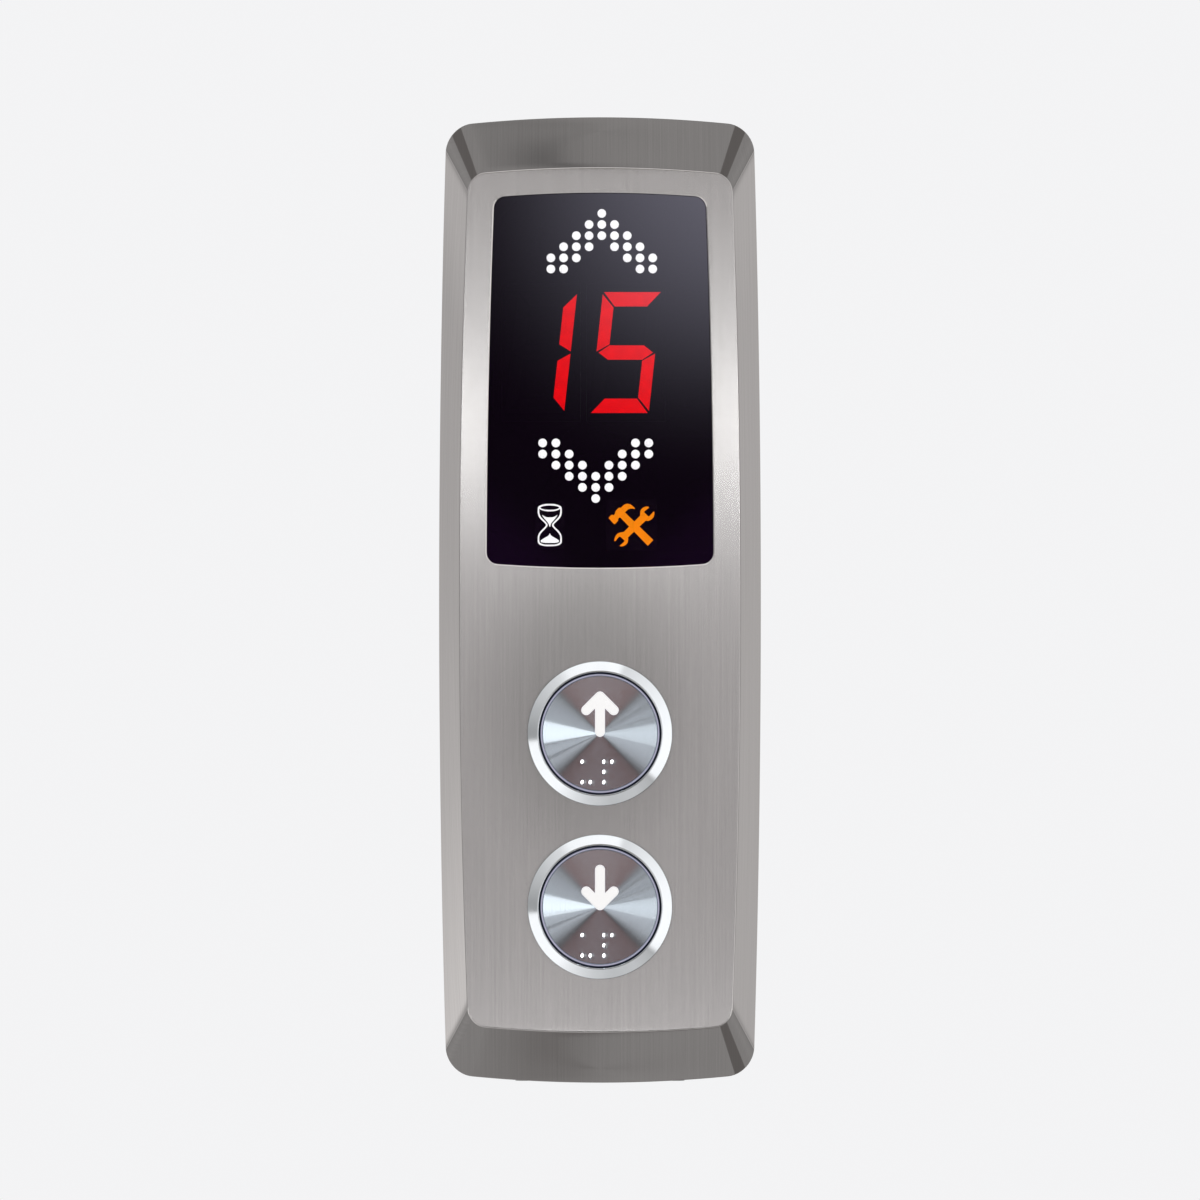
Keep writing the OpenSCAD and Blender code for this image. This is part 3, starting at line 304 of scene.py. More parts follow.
left_of = room.ramp(along_side, [
    (0.20, grey(0.93)), (0.39, grey(0.65)), (0.5, grey(0.585)), (0.68, grey(0.55)),
    (0.74, grey(0.64))])
right_of = room.ramp(along_side, [
    (0.20, grey(0.62)), (0.39, grey(0.60)), (0.5, grey(0.585)), (0.68, grey(0.59)),
    (0.74, grey(0.63))])
level_back = room.mix(dx.ease(-0.1, 0.1), left_of, right_of)
level_side = room.mix(dx.ease(-0.5, 0.5), grey(0.36), grey(0.14))
dark_steel = rgb(0.148, 0.138, 0.136)
dark_corner = rgb(0.172, 0.166, 0.163)
along_end = (dx + (dy + 0.003) * 2.5) * 2.5 + 0.5
above = room.ramp(along_end, [
    (0.25, grey(0.33)), (0.30, grey(0.265)), (0.36, grey(0.185)), (0.405, grey(0.165)),
    (0.415, grey(0.285)), (0.5, grey(0.335)), (0.6, grey(0.35)), (0.75, grey(0.34))])
below = room.ramp(along_end, [
    (0.25, dark_steel), (0.405, dark_steel), (0.425, grey(0.29)),
    (0.5, grey(0.33)), (0.6, grey(0.35)), (0.75, grey(0.34))])
end_on = room.mix(upward, below, above)
level_out = room.mix(front.ease(-0.35, -0.15), level_back, level_side)
on_right = dx.ease(-0.01, 0.01)
low_left = (1 - on_right) * (-dz).ease(-0.1, 0.1)
band_low = 0.61 + on_right * 0.10 + low_left * 0.39
band_high = 0.86 + on_right * 0.07 + low_left * 0.14
corner_side = room.ramp(steep, [
    (0.0, grey(0.6)), (0.060, grey(0.6)), (0.068, grey(0.36)), (0.085, grey(0.34)),
    (0.095, grey(0.62)), (0.12, grey(0.60)), (0.135, grey(0.27)), (0.20, grey(0.33)),
    (0.40, grey(0.36)), (0.60, grey(0.33))])
band = (steep - band_low).ease(-0.01, 0.01)
corner = room.mix(band, corner_side, dark_corner)
round_corner = room.mix(steep.ease(0.055, 0.065), level_out, corner)
walls = room.mix((steep - band_high).ease(-0.004, 0.004), round_corner, end_on)
boxes_share = front.ease(0.40, 0.60)
fan_share = front.ease(0.81, 0.85)
seen = room.mix(fan_share, room.mix(boxes_share, walls, boxes), fan)
warm = room.mix(1.0, seen, rgb(1.0, 0.965, 0.955))
warm.socket.node.blend_type = "MULTIPLY"
camera_ray = room.node("ShaderNodeLightPath", output="Is Camera Ray")
colour = room.mix(camera_ray, warm, backdrop)
sky = room.node("ShaderNodeBackground", None, {"Color": colour, "Strength": 1.0})
room.node("ShaderNodeOutputWorld", None, {"Surface": sky})
print("surroundings:", len(world.node_tree.nodes), "nodes")

# %% [markdown]
# ### Lamps and floor
# Most lamps are there for one piece only, as a photographer's small cards and mirrors are. Their
# light is linked to that piece, so that they don't spoil the look of the next one. They are placed
# here, and linked at the end, when all pieces are there.
#
# Small lamps beside the camera's line of sight, level with the window, make the bright band of the
# faceplate: the brushed face smears each of them sideways across its whole width. Two more lighten
# its foot. Each button has a fan-shaped lamp for the two bright wedges of its spun cap, an ember
# lamp that warms the dim sectors above and below, and a large soft lamp for its braille. A spot
# slants over the window and gives the soft sheen of its upper right corner. One wide lamp overhead
# lights everything, and the floor is a plain pale sheet.

# %% Lamps for the faceplate
LIT_BY = []


def lamp(name, place, target, size, power, receivers=(), pattern=None, tint=(1, 1, 1),
         kind="AREA"):
    """A square lamp or a spot. pattern gives its strength at a point, receivers what it lights."""
    data = bpy.data.lights.new(name, kind)
    if kind == "AREA":
        data.shape, data.size = "SQUARE", size
    else:
        data.shadow_soft_size = size
    data.energy = power
    data.color = tint
    made = bpy.data.objects.new(name, data)
    bpy.context.scene.collection.objects.link(made)
    made.location = place
    made.rotation_euler = (Vector(target) - Vector(place)).to_track_quat("-Z", "Y").to_euler()
    made.visible_camera = False
    if pattern:
        data.use_nodes = True
        tree = Shader(data.node_tree)
        strength = pattern(*tree.axes(tree.node("ShaderNodeNewGeometry", output="Position")))
        light = tree.node("ShaderNodeEmission", None, {"Strength": strength})
        tree.node("ShaderNodeOutputLight", None, {"Surface": light})
    if receivers:
        LIT_BY.append((made, receivers))
    return made


def beyond(z, distance):
    """Height at which the camera sees a level mirror's point z reflected, distance before it."""
    return z * (1 + distance / camera_distance)


band_x, band_distance = 0.16, 0.58
foot_x, foot_distance, foot_height = 0.2, 0.8, -160 * MM
for side in (-1, 1):
    for height, power in ((48 * MM, 0.082), (88 * MM, 0.014)):
        place = (side * band_x, -band_distance, beyond(height, band_distance))
        lamp("band_lamp", place, (0, 0, height), 0.04, power, ["faceplate_skin"])
    place = (side * foot_x, -foot_distance, beyond(foot_height, foot_distance))
    lamp("low_lamp", place, (0, 0, foot_height), 0.05, 0.075, ["faceplate_skin"])
print("lamps on the faceplate:", len(LIT_BY))

# %% Lamps for the buttons
fan_distance, fan_size = 0.5, 0.8
ember_behind = 0.01


def power_of(radiance, size):
    """A square lamp of radiance L has the power 4 L size^2."""
    return 4 * size ** 2 * radiance


for name, z in BUTTONS.items():
    centre = beyond(z, fan_distance)

    def wedge(x, y, height, centre=centre):
        """Light within 12 degrees or so of level, a tenth as strong on the right as on the left."""
        angle = ((height - centre) * x.math("SIGN")).math("ARCTAN2", abs(x)) / math.radians(1)
        share = angle.ease(-14, -12) * (1 - angle.ease(9, 11))
        return share * (1.0 - 0.9 * x.ease(-0.02, 0.02))

    def upright_sectors(x, y, height, centre=centre):
        """Light where the slope from the middle is steeper than 45 degrees, stronger above."""
        rise = height - centre
        strength = 0.60 + 0.40 * rise.math("GREATER_THAN", 0.0)
        return (abs(rise) - abs(x)).ease(-0.01, 0.02) * strength

    middle = (0, 0, centre)
    lamp(name + "_fan_lamp", (0, -fan_distance, centre), middle, fan_size,
         power_of(1.05, fan_size), [name + "_cap"], wedge, (1.0, 0.99, 0.97))
    lamp(name + "_ember_lamp", (0, -fan_distance - ember_behind, centre), middle, fan_size,
         power_of(0.11, fan_size), [name + "_cap"], upright_sectors, (1.0, 0.08, 0.06))
    lamp(name + "_dot_lamp", (-0.62, -0.50, z + 0.10), (0, 0, z), size=1.7, power=120.0,
         receivers=[name + "_braille_domes"])
print("lamps on the buttons:", 3 * len(BUTTONS))

# %% Window lamp, overhead lamp and floor
window_corner = (33 * MM, 0, 118 * MM)
sheen = lamp("sheen_lamp", (0.10, -0.30, 0.20), window_corner, size=0.02, power=68,
             receivers=["window_lens"], tint=(0.82, 0.81, 1.0), kind="SPOT")
sheen.data.spot_size, sheen.data.spot_blend = math.radians(27), 1.0
overhead = lamp("overhead_lamp", (0, -0.8, 2.2), (0, 0, 0), size=1.6, power=30)
overhead.visible_glossy = False

floor_half, floor_level = 4.0, -0.9
floor_mesh = bpy.data.meshes.new("floor")
floor_mesh.from_pydata([(x * floor_half, y * floor_half, floor_level)
                        for x, y in ((-1, -1), (1, -1), (1, 1), (-1, 1))], [], [(0, 1, 2, 3)])
floor = bpy.data.objects.new("floor", floor_mesh)
bpy.context.scene.collection.objects.link(floor)
floor.visible_glossy = floor.visible_diffuse = False
pale = bpy.data.materials.new("pale_floor")
pale.use_nodes = True
paint = Shader(pale.node_tree)
matt = paint.node("ShaderNodeBsdfPrincipled", None, {
    "Base Color": grey(0.85), "Roughness": 0.9, "Emission Color": grey(1.0),
    "Emission Strength": 0.35})
paint.node("ShaderNodeOutputMaterial", None, {"Surface": matt})
floor_mesh.materials.append(pale)
print("lamps:", len(bpy.data.lights))

# %% [markdown]
# ## Surfaces from formulas
# Each new piece is a grid of points from whole numpy arrays: a closed profile turned about a
# button's axis, or a circle carried along a path. The order of the two grid directions doesn't
# matter, because every closed piece has its faces turned outward at the end.

# %% Surface builders
def grid_faces(rows, columns, close_rows=False):
    """Quads between neighbours of a rows x columns grid whose columns, or both, run round."""
    i = np.arange(rows if close_rows else rows - 1)[:, None]
    j = np.arange(columns)[None, :]
    i2, j2 = (i + 1) % rows, (j + 1) % columns
    corners = [i * columns + j, i * columns + j2, i2 * columns + j2, i2 * columns + j]
    return np.stack(np.broadcast_arrays(*corners), -1).reshape(-1, 4).tolist()


def turned(profile, centre_x, centre_z, sides):
    """x = cx + r cos a, z = cz + r sin a, y = -h for a closed profile's points (r, h), angles a."""
    angle = np.linspace(0, 2 * math.pi, sides, endpoint=False)[None, :]
    r, h = np.asarray(profile, float)[:, :, None].transpose(1, 0, 2)
    points = np.stack([centre_x + r * np.cos(angle), -h + 0 * angle,
                       centre_z + r * np.sin(angle)], -1).reshape(-1, 3)
    return points, grid_faces(len(profile), sides, True)


def swept(path, radius, sides, up=(0, 1, 0)):
    """p + r (u cos a + v sin a), where u = up x t and v = t x u turn with the path's course t."""
    path = np.asarray(path, float)
    ahead = np.gradient(path, axis=0)
    ahead /= np.linalg.norm(ahead, axis=1, keepdims=True)
    across = np.cross(up, ahead)
    across /= np.linalg.norm(across, axis=1, keepdims=True)
    above = np.cross(ahead, across)
    angle = np.linspace(0, 2 * math.pi, sides, endpoint=False)[None, :, None]
    circle = across[:, None] * np.cos(angle) + above[:, None] * np.sin(angle)
    points = path[:, None] + radius * circle
    faces = grid_faces(len(path), sides)
    last = (len(path) - 1) * sides
    faces += [list(range(sides)), list(range(last, last + sides))]
    return points.reshape(-1, 3), faces


def joined(parts):
    """One list of points and faces from several."""
    points, faces, start = [], [], 0
    for part_points, part_faces in parts:
        points.append(part_points)
        faces += [[start + corner for corner in face] for face in part_faces]
        start += len(part_points)
    return np.concatenate(points), faces


def corner_arc(centre, radius, start, end, steps):
    """Points on a circle from one angle to another, in degrees."""
    angle = np.radians(np.linspace(start, end, steps))
    return np.stack([centre[0] + radius * np.cos(angle), centre[1] + radius * np.sin(angle)], 1)


def piece(name, surface, body, slot_name, replaced=(), sharp=None):
    """A closed mesh object that rides on a body, takes a slot's finish and stands for CAD nodes."""
    points, faces = surface
    mesh = bpy.data.meshes.new(name)
    mesh.from_pydata(np.asarray(points).tolist(), [], faces)
    shell = bmesh.new()
    shell.from_mesh(mesh)
    bmesh.ops.recalc_face_normals(shell, faces=shell.faces)
    shell.to_mesh(mesh)
    shell.free()
    mesh.shade_smooth()
    if sharp:
        mesh.set_sharp_from_angle(angle=math.radians(sharp))
    made = bpy.data.objects.new(name, mesh)
    bpy.context.scene.collection.objects.link(made)
    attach(made, body)
    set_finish(made, slot_name)
    if replaced:
        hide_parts(*replaced)
    print(name, len(mesh.polygons), "faces")
    return made


# %% [markdown]
# ## Faceplate
# The faceplate is one stainless sheet, laser cut, brushed along its length and folded on a press
# brake. A brake leaves a small radius on the outside of every fold, and that radius catches the
# light as a thin line. The skin is a stack of rings: each ring is the bowed outline at one level,
# and a fold is five rings along a curve. The two flat sides are filled between the last ring and
# the openings.

# %% Faceplate outlines
side_steps, end_steps, corner_steps = 72, 36, 12
fold_steps, bevel_steps = 5, 10


def rounded_outline(half_w, low, high, r):
    """A rounded rectangle, anticlockwise from the bottom of its right side."""
    def run(a, b, n):
        share = np.arange(1, n)[:, None] / n
        return np.array(a) + (np.array(b) - np.array(a)) * share

    def arc(x, z, start):
        return corner_arc((x, z), r, start, start + 90, corner_steps + 1)

    return np.concatenate([
        run((half_w, low + r), (half_w, high - r), side_steps), arc(half_w - r, high - r, 0),
        run((half_w - r, high), (r - half_w, high), end_steps), arc(r - half_w, high - r, 90),
        run((-half_w, high - r), (-half_w, low + r), side_steps), arc(r - half_w, low + r, 180),
        run((r - half_w, low), (half_w - r, low), end_steps), arc(half_w - r, low + r, 270)])


def bowed_outline(half_w, low, high, r, side_r):
    """The same with x (1 - z^2 / 2 R w) and z - t x^2 / 2 E, where t runs from -1 to 1."""
    x, z = rounded_outline(half_w, low, high, r).T
    t = (z - (low + high) / 2) / ((high - low) / 2)
    return np.stack([x * (1 - z ** 2 / (2 * side_r * half_w)), z - t * x ** 2 / (2 * end_r)], 1)


def panel_outline(inset):
    return bowed_outline(panel_half_w - inset, inset - panel_half_h, panel_half_h - inset,
                         panel_corner_r - inset, panel_side_r)


def face_outline(inset_side, inset_end):
    half_h = panel_half_h - bevel_end - inset_end
    return bowed_outline(panel_half_w - bevel_side - inset_side, -half_h, half_h,
                         face_corner_r - min(inset_side, inset_end), face_side_r)


def window_outline(grow):
    return bowed_outline(window_w / 2 + grow, window_low - grow, window_high + grow,
                         window_corner_r + grow, face_side_r)


def at_level(outline, level):
    return np.column_stack([outline[:, 0], np.full(len(outline), -level), outline[:, 1]])


def fold(before, corner, after):
    """Rings on the curve (1-s)^2 a + 2s(1-s) c + s^2 b between two rings, bent at the third."""
    share = np.linspace(0, 1, fold_steps)[:, None, None]
    return list((1 - share) ** 2 * before + 2 * share * (1 - share) * corner + share ** 2 * after)


print("points in an outline:", len(panel_outline(0)))

# %% [markdown]
# The sheet has the same thickness all over, so its inside is the same stack of rings, moved inward
# at each fold by the thickness times the tangent of half the bend. That keeps the wall even.

# %% Faceplate skin
fold_run = 0.3 * MM
inner_level = panel_depth - sheet_t
bevel_h = panel_depth - rim_h
inset_side = sheet_t * math.tan(math.atan2(bevel_h, bevel_side) / 2)
inset_end = sheet_t * math.tan(math.atan2(bevel_h, bevel_end) / 2)
rim_drop = sheet_t * math.tan((math.pi / 2 - math.atan2(bevel_h, bevel_end)) / 2)


def sheet_side(wall, wall_top, face_at, face_level, run):
    """Rings up the edge wall, round the first fold, up the bevel, round the second, to the face."""
    foot, bend = at_level(wall, 0), at_level(wall, wall_top)
    crest = at_level(face_at(0), face_level)
    slope = crest - bend
    length = np.linalg.norm(slope, axis=1, keepdims=True)
    bevel_low, bevel_high = bend + slope * run / length, crest - slope * run / length
    share = np.linspace(0, 1, bevel_steps)[1:-1, None, None]
    return ([foot] + fold(at_level(wall, wall_top - run), bend, bevel_low)
            + list(bevel_low + (bevel_high - bevel_low) * share)
            + fold(bevel_high, crest, at_level(face_at(run), face_level)))


outside = sheet_side(panel_outline(0), rim_h, lambda run: face_outline(run, run), panel_depth,
                     fold_run)
inside = sheet_side(panel_outline(sheet_t), rim_h - rim_drop,
                    lambda run: face_outline(inset_side + run, inset_end + run), inner_level,
                    fold_run * 0.5)
rings = inside[::-1] + outside
skin = [(np.concatenate(rings), grid_faces(len(rings), len(rings[0])))]
print("rings:", len(rings))

# %% [markdown]
# The openings come next. A laser cut edge is linished, so each opening has a fine eased edge: it
# is the thin bright line round the window. A hole is a short stack of rings from the front of the
# sheet to its back, and the flat front and back are filled between the outline and those rings.

# %% Faceplate openings
lip_overhang = 1.6 * MM
hole_clearance = 0.15 * MM
hole_r = node_high("up_bezel")[0] - lip_overhang + hole_clearance
edge_profile = np.array([(0.32, 0), (0, 0.16)]) * MM


def circle_outline(centre_z, radius, sides=128):
    angle = np.linspace(0, 2 * math.pi, sides, endpoint=False)
    return np.stack([radius * np.cos(angle), centre_z + radius * np.sin(angle)], 1)


def hole_rings(outline):
    """Rings of an opening from the front of the sheet, over the eased edge, to its back."""
    lip = [at_level(outline(grow), panel_depth - drop) for grow, drop in edge_profile]
    return lip + [at_level(outline(0), inner_level)]


openings = [hole_rings(window_outline)] + [
    hole_rings(lambda grow, z=z: circle_outline(z, hole_r + grow)) for z in BUTTONS.values()]
for opening in openings:
    skin.append((np.concatenate(opening), grid_faces(len(opening), len(opening[0]))))


def flat_fill(loops):
    """Triangles between an outline and the openings in it."""
    triangles = tessellate_polygon([[Vector(p) for p in loop] for loop in loops])
    return np.concatenate(loops), [list(t) for t in triangles]


skin.append(flat_fill([outside[-1]] + [opening[0] for opening in openings]))
skin.append(flat_fill([inside[-1]] + [opening[-1] for opening in openings]))
print("openings:", len(openings))

# %% [markdown]
# Two countersunk screws close the station from below. Their holes are drilled after folding, so
# here too they come last: a turned cutter for each is taken out of the finished skin. The sheet has
# sharp cut edges, while the folds and linished edges are smooth.

# %% Faceplate screw holes
screw_x, screw_level = 21 * MM, 3.2 * MM
screw_z = -panel_half_h + screw_x ** 2 / (2 * end_r)
sink_r, shank_hole_r, sink_depth, drill_depth = 2.75 * MM, 1.6 * MM, 1.45 * MM, 3 * MM
drill_pole_r = 1e-5
sharp_angle = 24
faceplate = piece("faceplate_skin", joined(skin), "panel", "brushed_faceplate", ["faceplate"])


def weld(mesh):
    """Merges doubles, turns the faces outward and gives the number of open edges."""
    shell = bmesh.new()
    shell.from_mesh(mesh)
    bmesh.ops.remove_doubles(shell, verts=shell.verts, dist=1e-6)
    bmesh.ops.recalc_face_normals(shell, faces=shell.faces)
    open_edges = sum(not edge.is_manifold for edge in shell.edges)
    shell.to_mesh(mesh)
    shell.free()
    return open_edges


print("open edges:", weld(faceplate.data))
drill_profile = [(drill_pole_r, -MM), (sink_r, -MM), (sink_r, 0), (shank_hole_r, sink_depth),
                 (shank_hole_r, drill_depth), (drill_pole_r, drill_depth)]
cutters = []
for side in (-1, 1):
    points, faces = turned(drill_profile, 0, 0, 48)
    x, y, z = points.T
    points = np.column_stack([side * screw_x + x, -screw_level + z, screw_z - y])
    mesh = bpy.data.meshes.new("drill")
    mesh.from_pydata(points.tolist(), [], faces)
    weld(mesh)
    drill = bpy.data.objects.new("drill", mesh)
    bpy.context.scene.collection.objects.link(drill)
    cut = faceplate.modifiers.new("cut", "BOOLEAN")
    cut.operation, cut.solver, cut.object = "DIFFERENCE", "EXACT", drill
    cutters.append(drill)
bpy.context.view_layer.update()
evaluated = faceplate.evaluated_get(bpy.context.evaluated_depsgraph_get())
drilled = bpy.data.meshes.new_from_object(evaluated)
faceplate.modifiers.clear()
faceplate.data = drilled
for drill in cutters:
    bpy.data.objects.remove(drill)
drilled.shade_smooth()
drilled.set_sharp_from_angle(angle=math.radians(sharp_angle))
even = faceplate.modifiers.new("flat_faces_stay_flat", "WEIGHTED_NORMAL")
even.keep_sharp = True
print("faceplate:", len(drilled.polygons), "faces, open edges:", weld(drilled))

# %% [markdown]
# ## Bezels
# Each bezel is turned from bar and polished. Its lip is a flat cone that falls outward by 20
# degrees and rolls over at the rim, so that all round it mirrors the ring of soft boxes. Behind the
# lip come the plain shoulder and the thread that the clamp nut runs on. The thread is drawn as
# separate rings at its pitch, as in the model.

# %% Bezels
bezel_r = (node_high("up_bezel") - node_low("up_bezel"))[0] / 2
bezel_top = -node_low("up_bezel")[1]
bore_r = bezel_r - 3.1 * MM
barrel_r = bezel_r - lip_overhang
barrel_back = -node_high("up_bezel")[1]
gasket_t = 0.4 * MM
lip_back = panel_depth + gasket_t
broken_edge = 0.1 * MM
thread_depth, thread_pitch = 0.45 * MM, 1 * MM
thread_turns = 9
thread_shape = np.array([(0, 0.85), (0.35, 0.6), (1, 0.42), (1, 0.28), (0.35, 0.1)])


def bezel_profile():
    """(r, h) round the section: bore, inner edge, cone, rolled rim, shoulder and thread."""
    edge, roll, tilt = 0.22 * MM, 0.32 * MM, 20
    lean_out = math.radians(tilt)
    inner = corner_arc((bore_r + edge, bezel_top - edge), edge, 180, 90 - tilt, 7)
    rim_middle = np.array([bezel_r - roll, 0])
    fall = (rim_middle[0] - bore_r - edge) * math.tan(lean_out)
    rim_middle[1] = bezel_top - edge - fall - (roll - edge) / math.cos(lean_out)
    rim = corner_arc(rim_middle, roll, 90 - tilt, 0, 9)
    share = np.linspace(0, 1, 10)[1:-1, None]
    cone = inner[-1] + (rim[0] - inner[-1]) * share
    rim = rim[rim[:, 1] > lip_back + broken_edge]
    foot = np.array([(bezel_r, lip_back + broken_edge), (bezel_r - broken_edge, lip_back),
                     (barrel_r, lip_back)])
    top_of_thread = barrel_back + (thread_turns + 0.5) * thread_pitch
    root_r = barrel_r - thread_depth
    neck = np.array([(barrel_r, top_of_thread + thread_depth), (root_r, top_of_thread)])
    turns = np.arange(thread_turns)[::-1, None]
    fullness, along = thread_shape.T
    thread = np.stack([barrel_r - thread_depth * (1 - fullness) + 0 * turns,
                       barrel_back + (turns + along) * thread_pitch], -1).reshape(-1, 2)
    end = np.array([(root_r, barrel_back + 0.02 * MM), (root_r - broken_edge, barrel_back),
                    (bore_r, barrel_back)])
    return np.concatenate([inner, cone, rim, foot, neck, thread, end])


for name, z in BUTTONS.items():
    piece(name + "_bezel_turned", turned(bezel_profile(), 0, z, 192), "panel", "polished_bezel",
          [name + "_bezel"], 32)

# %% [markdown]
# ## Braille
# The seven raised dots read the same on both caps, as in the photograph. They are small smooth
# domes: a quarter of an ellipse turned about its axis, on a foot that is sunk a hair into the cap.

# %% Braille
braille_r, braille_h = 0.82 * MM, 0.5 * MM
braille_start = np.array([-4.65, -7.9]) * MM
braille_cells = [[1, 3, 6], [1, 2, 3, 4]]
pitch_x, pitch_z, cell_pitch = 2.25 * MM, 2.85 * MM, 6.05 * MM
cap_top = -node_low("up_cap")[1]
dome_pole_r = 1e-6
dome_foot = cap_top - 0.05 * MM
dome_angle = np.linspace(0, 1, 14)
dome = np.column_stack([braille_r * np.sin(dome_angle * math.pi / 2),
                        cap_top + braille_h * np.cos(dome_angle * math.pi / 2)])
dome = np.concatenate([np.maximum(dome, [dome_pole_r, 0]),
                       [(braille_r, dome_foot), (dome_pole_r, dome_foot)]])
for name, z in BUTTONS.items():
    dots = [(braille_start[0] + cell * cell_pitch + (dot > 3) * pitch_x,
             z + braille_start[1] - (dot - 1) % 3 * pitch_z)
            for cell, dots_of_cell in enumerate(braille_cells) for dot in dots_of_cell]
    piece(name + "_braille_domes", joined([turned(dome, x, dot_z, 32) for x, dot_z in dots]),
          name + "_button", "spun_cap", [name + "_braille"], 60)

# %% [markdown]
# ## Springs and wires
# A return spring is wound from round wire, with closed end turns: the coil rises evenly between
# three quarters of a turn from each end. When a button is pressed the spring is squeezed towards
# its seat; here it rides on the panel, not on the button, and has a mesh of its own. The wires are
# smooth tubes along the routes of the model, four side by side.

# %% Springs
def helix(centre_z, radius, low, high, turns, steps):
    """x = r cos a, z = r sin a, and y falls from low to high between the two closed end turns."""
    turn_at = np.linspace(0, turns, turns * steps + 1)
    rise = np.clip((turn_at - 0.75) / (turns - 1.5), 0, 1)
    return np.column_stack([radius * np.cos(2 * math.pi * turn_at), -(low + (high - low) * rise),
                            centre_z + radius * np.sin(2 * math.pi * turn_at)])


def through(points, steps):
    """A Catmull-Rom curve: 0.5 (2b + (c-a) t + (2a-5b+4c-d) t^2 + (3b-a-3c+d) t^3)."""
    p = np.asarray(points, float)
    first = np.arange(len(p) - 1)
    a, b, c, d = (p[np.clip(first + k, 0, len(p) - 1)][:, None] for k in (-1, 0, 1, 2))
    t = np.linspace(0, 1, steps, endpoint=False)[None, :, None]
    curve = 0.5 * (2 * b + (c - a) * t + (2 * a - 5 * b + 4 * c - d) * t ** 2
                   + (3 * b - a - 3 * c + d) * t ** 3)
    return np.concatenate([curve.reshape(-1, 3), p[-1:]])


spring_wire_r, coil_r, coil_turns = 0.25 * MM, 3.5 * MM, 5
for name, z in BUTTONS.items():
    seat, top = -node_high(name + "_spring")[1], -node_low(name + "_spring")[1]
    coil = helix(z, coil_r, seat + spring_wire_r, top - spring_wire_r, coil_turns, 32)
    spring = piece(name + "_spring_coil", swept(coil, spring_wire_r, 12), "panel",
                   "steel_fasteners", [name + "_spring"])
    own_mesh(spring)

# %% Wires
wire_start, socket_x, wire_pitch, side_by_side = 13.0, 24.0, 1.8, (-1.5, -0.5, 0.5, 1.5)
button_level, board_level, board_z = 4.1, 6.3, 0.0
board_bend = board_z - 4
insulation_r = 0.55 * MM


def between(a, b, share):
    return a + (b - a) * share


def wire_route(name):
    """In mm, points x, z, level and the direction in which the four wires lie side by side."""
    z = BUTTONS[name] / MM
    bend = z + 7
    start = [(wire_start, z, button_level, 0, 1), (wire_start + 2, z, button_level, 0, 1),
             (wire_start + 5, z, button_level, 0, 1), (22.9, z + 2, button_level, -0.7, 0.7),
             (25, bend, button_level, -1, 0)]
    rise = {"up": [(25, 0.4, 0.3), (25, 0.77, 1.1)],
            "down": [(26, 0.2, 0), (26, 0.45, 0), (26, 0.72, 0.3), (25, 0.92, 1.1)]}[name]
    middle = [(x, between(bend, board_bend, share), button_level + lift, -1, 0)
              for x, share, lift in rise]
    end = [(socket_x, board_bend, board_level, -1, 0),
           (socket_x, board_z - 1.5, board_level, -1, 0),
           (socket_x, board_z, board_level, -1, 0)]
    points = np.array(start + middle + end)
    return points * (-1, 1, 1, -1, 1) if name == "up" else points


for name, colour_name in (("up", "red"), ("down", "blue")):
    x, z, level, aside_x, aside_z = wire_route(name).T
    wires = []
    for place in side_by_side:
        path = np.column_stack([x + place * wire_pitch * aside_x, -level,
                                z + place * wire_pitch * aside_z]) * MM
        wires.append(swept(through(path, 10), insulation_r, 14))
    piece(name + "_wires", joined(wires), "panel", "wire_" + colour_name, [name + "_harness"])

# %% [markdown]
# ## Finishes
# Each finish is worked out from the place on the surface, in metres, so that its grain keeps its
# real size. What is the same all over a surface, such as the direction of the brushing, is a plain
# setting of the Principled shader. What varies, such as colour and roughness, is a formula. The
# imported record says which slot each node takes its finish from.

# %% Finish helpers
SLOTS = {}
for row in frame["record"]["subparts"]:
    SLOTS.setdefault(row["material_slot"], []).append(row["node"])
finished = set()


def begin(slot_name):
    """A new material's shader and the place on the surface as three numbers."""
    material = bpy.data.materials.new(slot_name + "_finish")
    material.use_nodes = True
    shader = Shader(material.node_tree)
    shader.material, shader.slot_name = material, slot_name
    place = shader.node("ShaderNodeTexCoord", output="Object")
    return shader, shader.axes(place)


def noise(shader, x, y, z, detail=2.0, roughness=0.5):
    """Smooth noise from 0 to 1 with one bump for each unit of x, y and z."""
    return shader.node("ShaderNodeTexNoise", None,
                       {"Vector": shader.vector(x, y, z), "Scale": 1.0, "Detail": detail,
                        "Roughness": roughness})


def bumped(shader, height, distance, strength=1.0):
    """The surface's normal, tilted by a height that is distance metres tall where it is 1."""
    return shader.node("ShaderNodeBump", None,
                       {"Height": height, "Distance": distance, "Strength": strength})


def finish(shader, **inputs):
    """Writes the Principled shader and gives the material to the slot's nodes and new pieces."""
    names = {key: key.replace("_", " ").title().replace("Ior", "IOR") for key in inputs}
    surface = shader.node("ShaderNodeBsdfPrincipled", None,
                          {names[key]: value for key, value in inputs.items()})
    shader.node("ShaderNodeOutputMaterial", None, {"Surface": surface})
    slot_name = shader.slot_name
    for node in SLOTS[slot_name]:
        for material_slot in frame["nodes"][node].material_slots:
            material_slot.material = shader.material
    for made in bpy.data.objects:
        if made.get("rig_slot") == slot_name:
            made.data.materials.clear()
            made.data.materials.append(shader.material)
    finished.add(slot_name)
    print(slot_name, len(shader.tree.nodes), "nodes")


print("slots:", len(SLOTS))
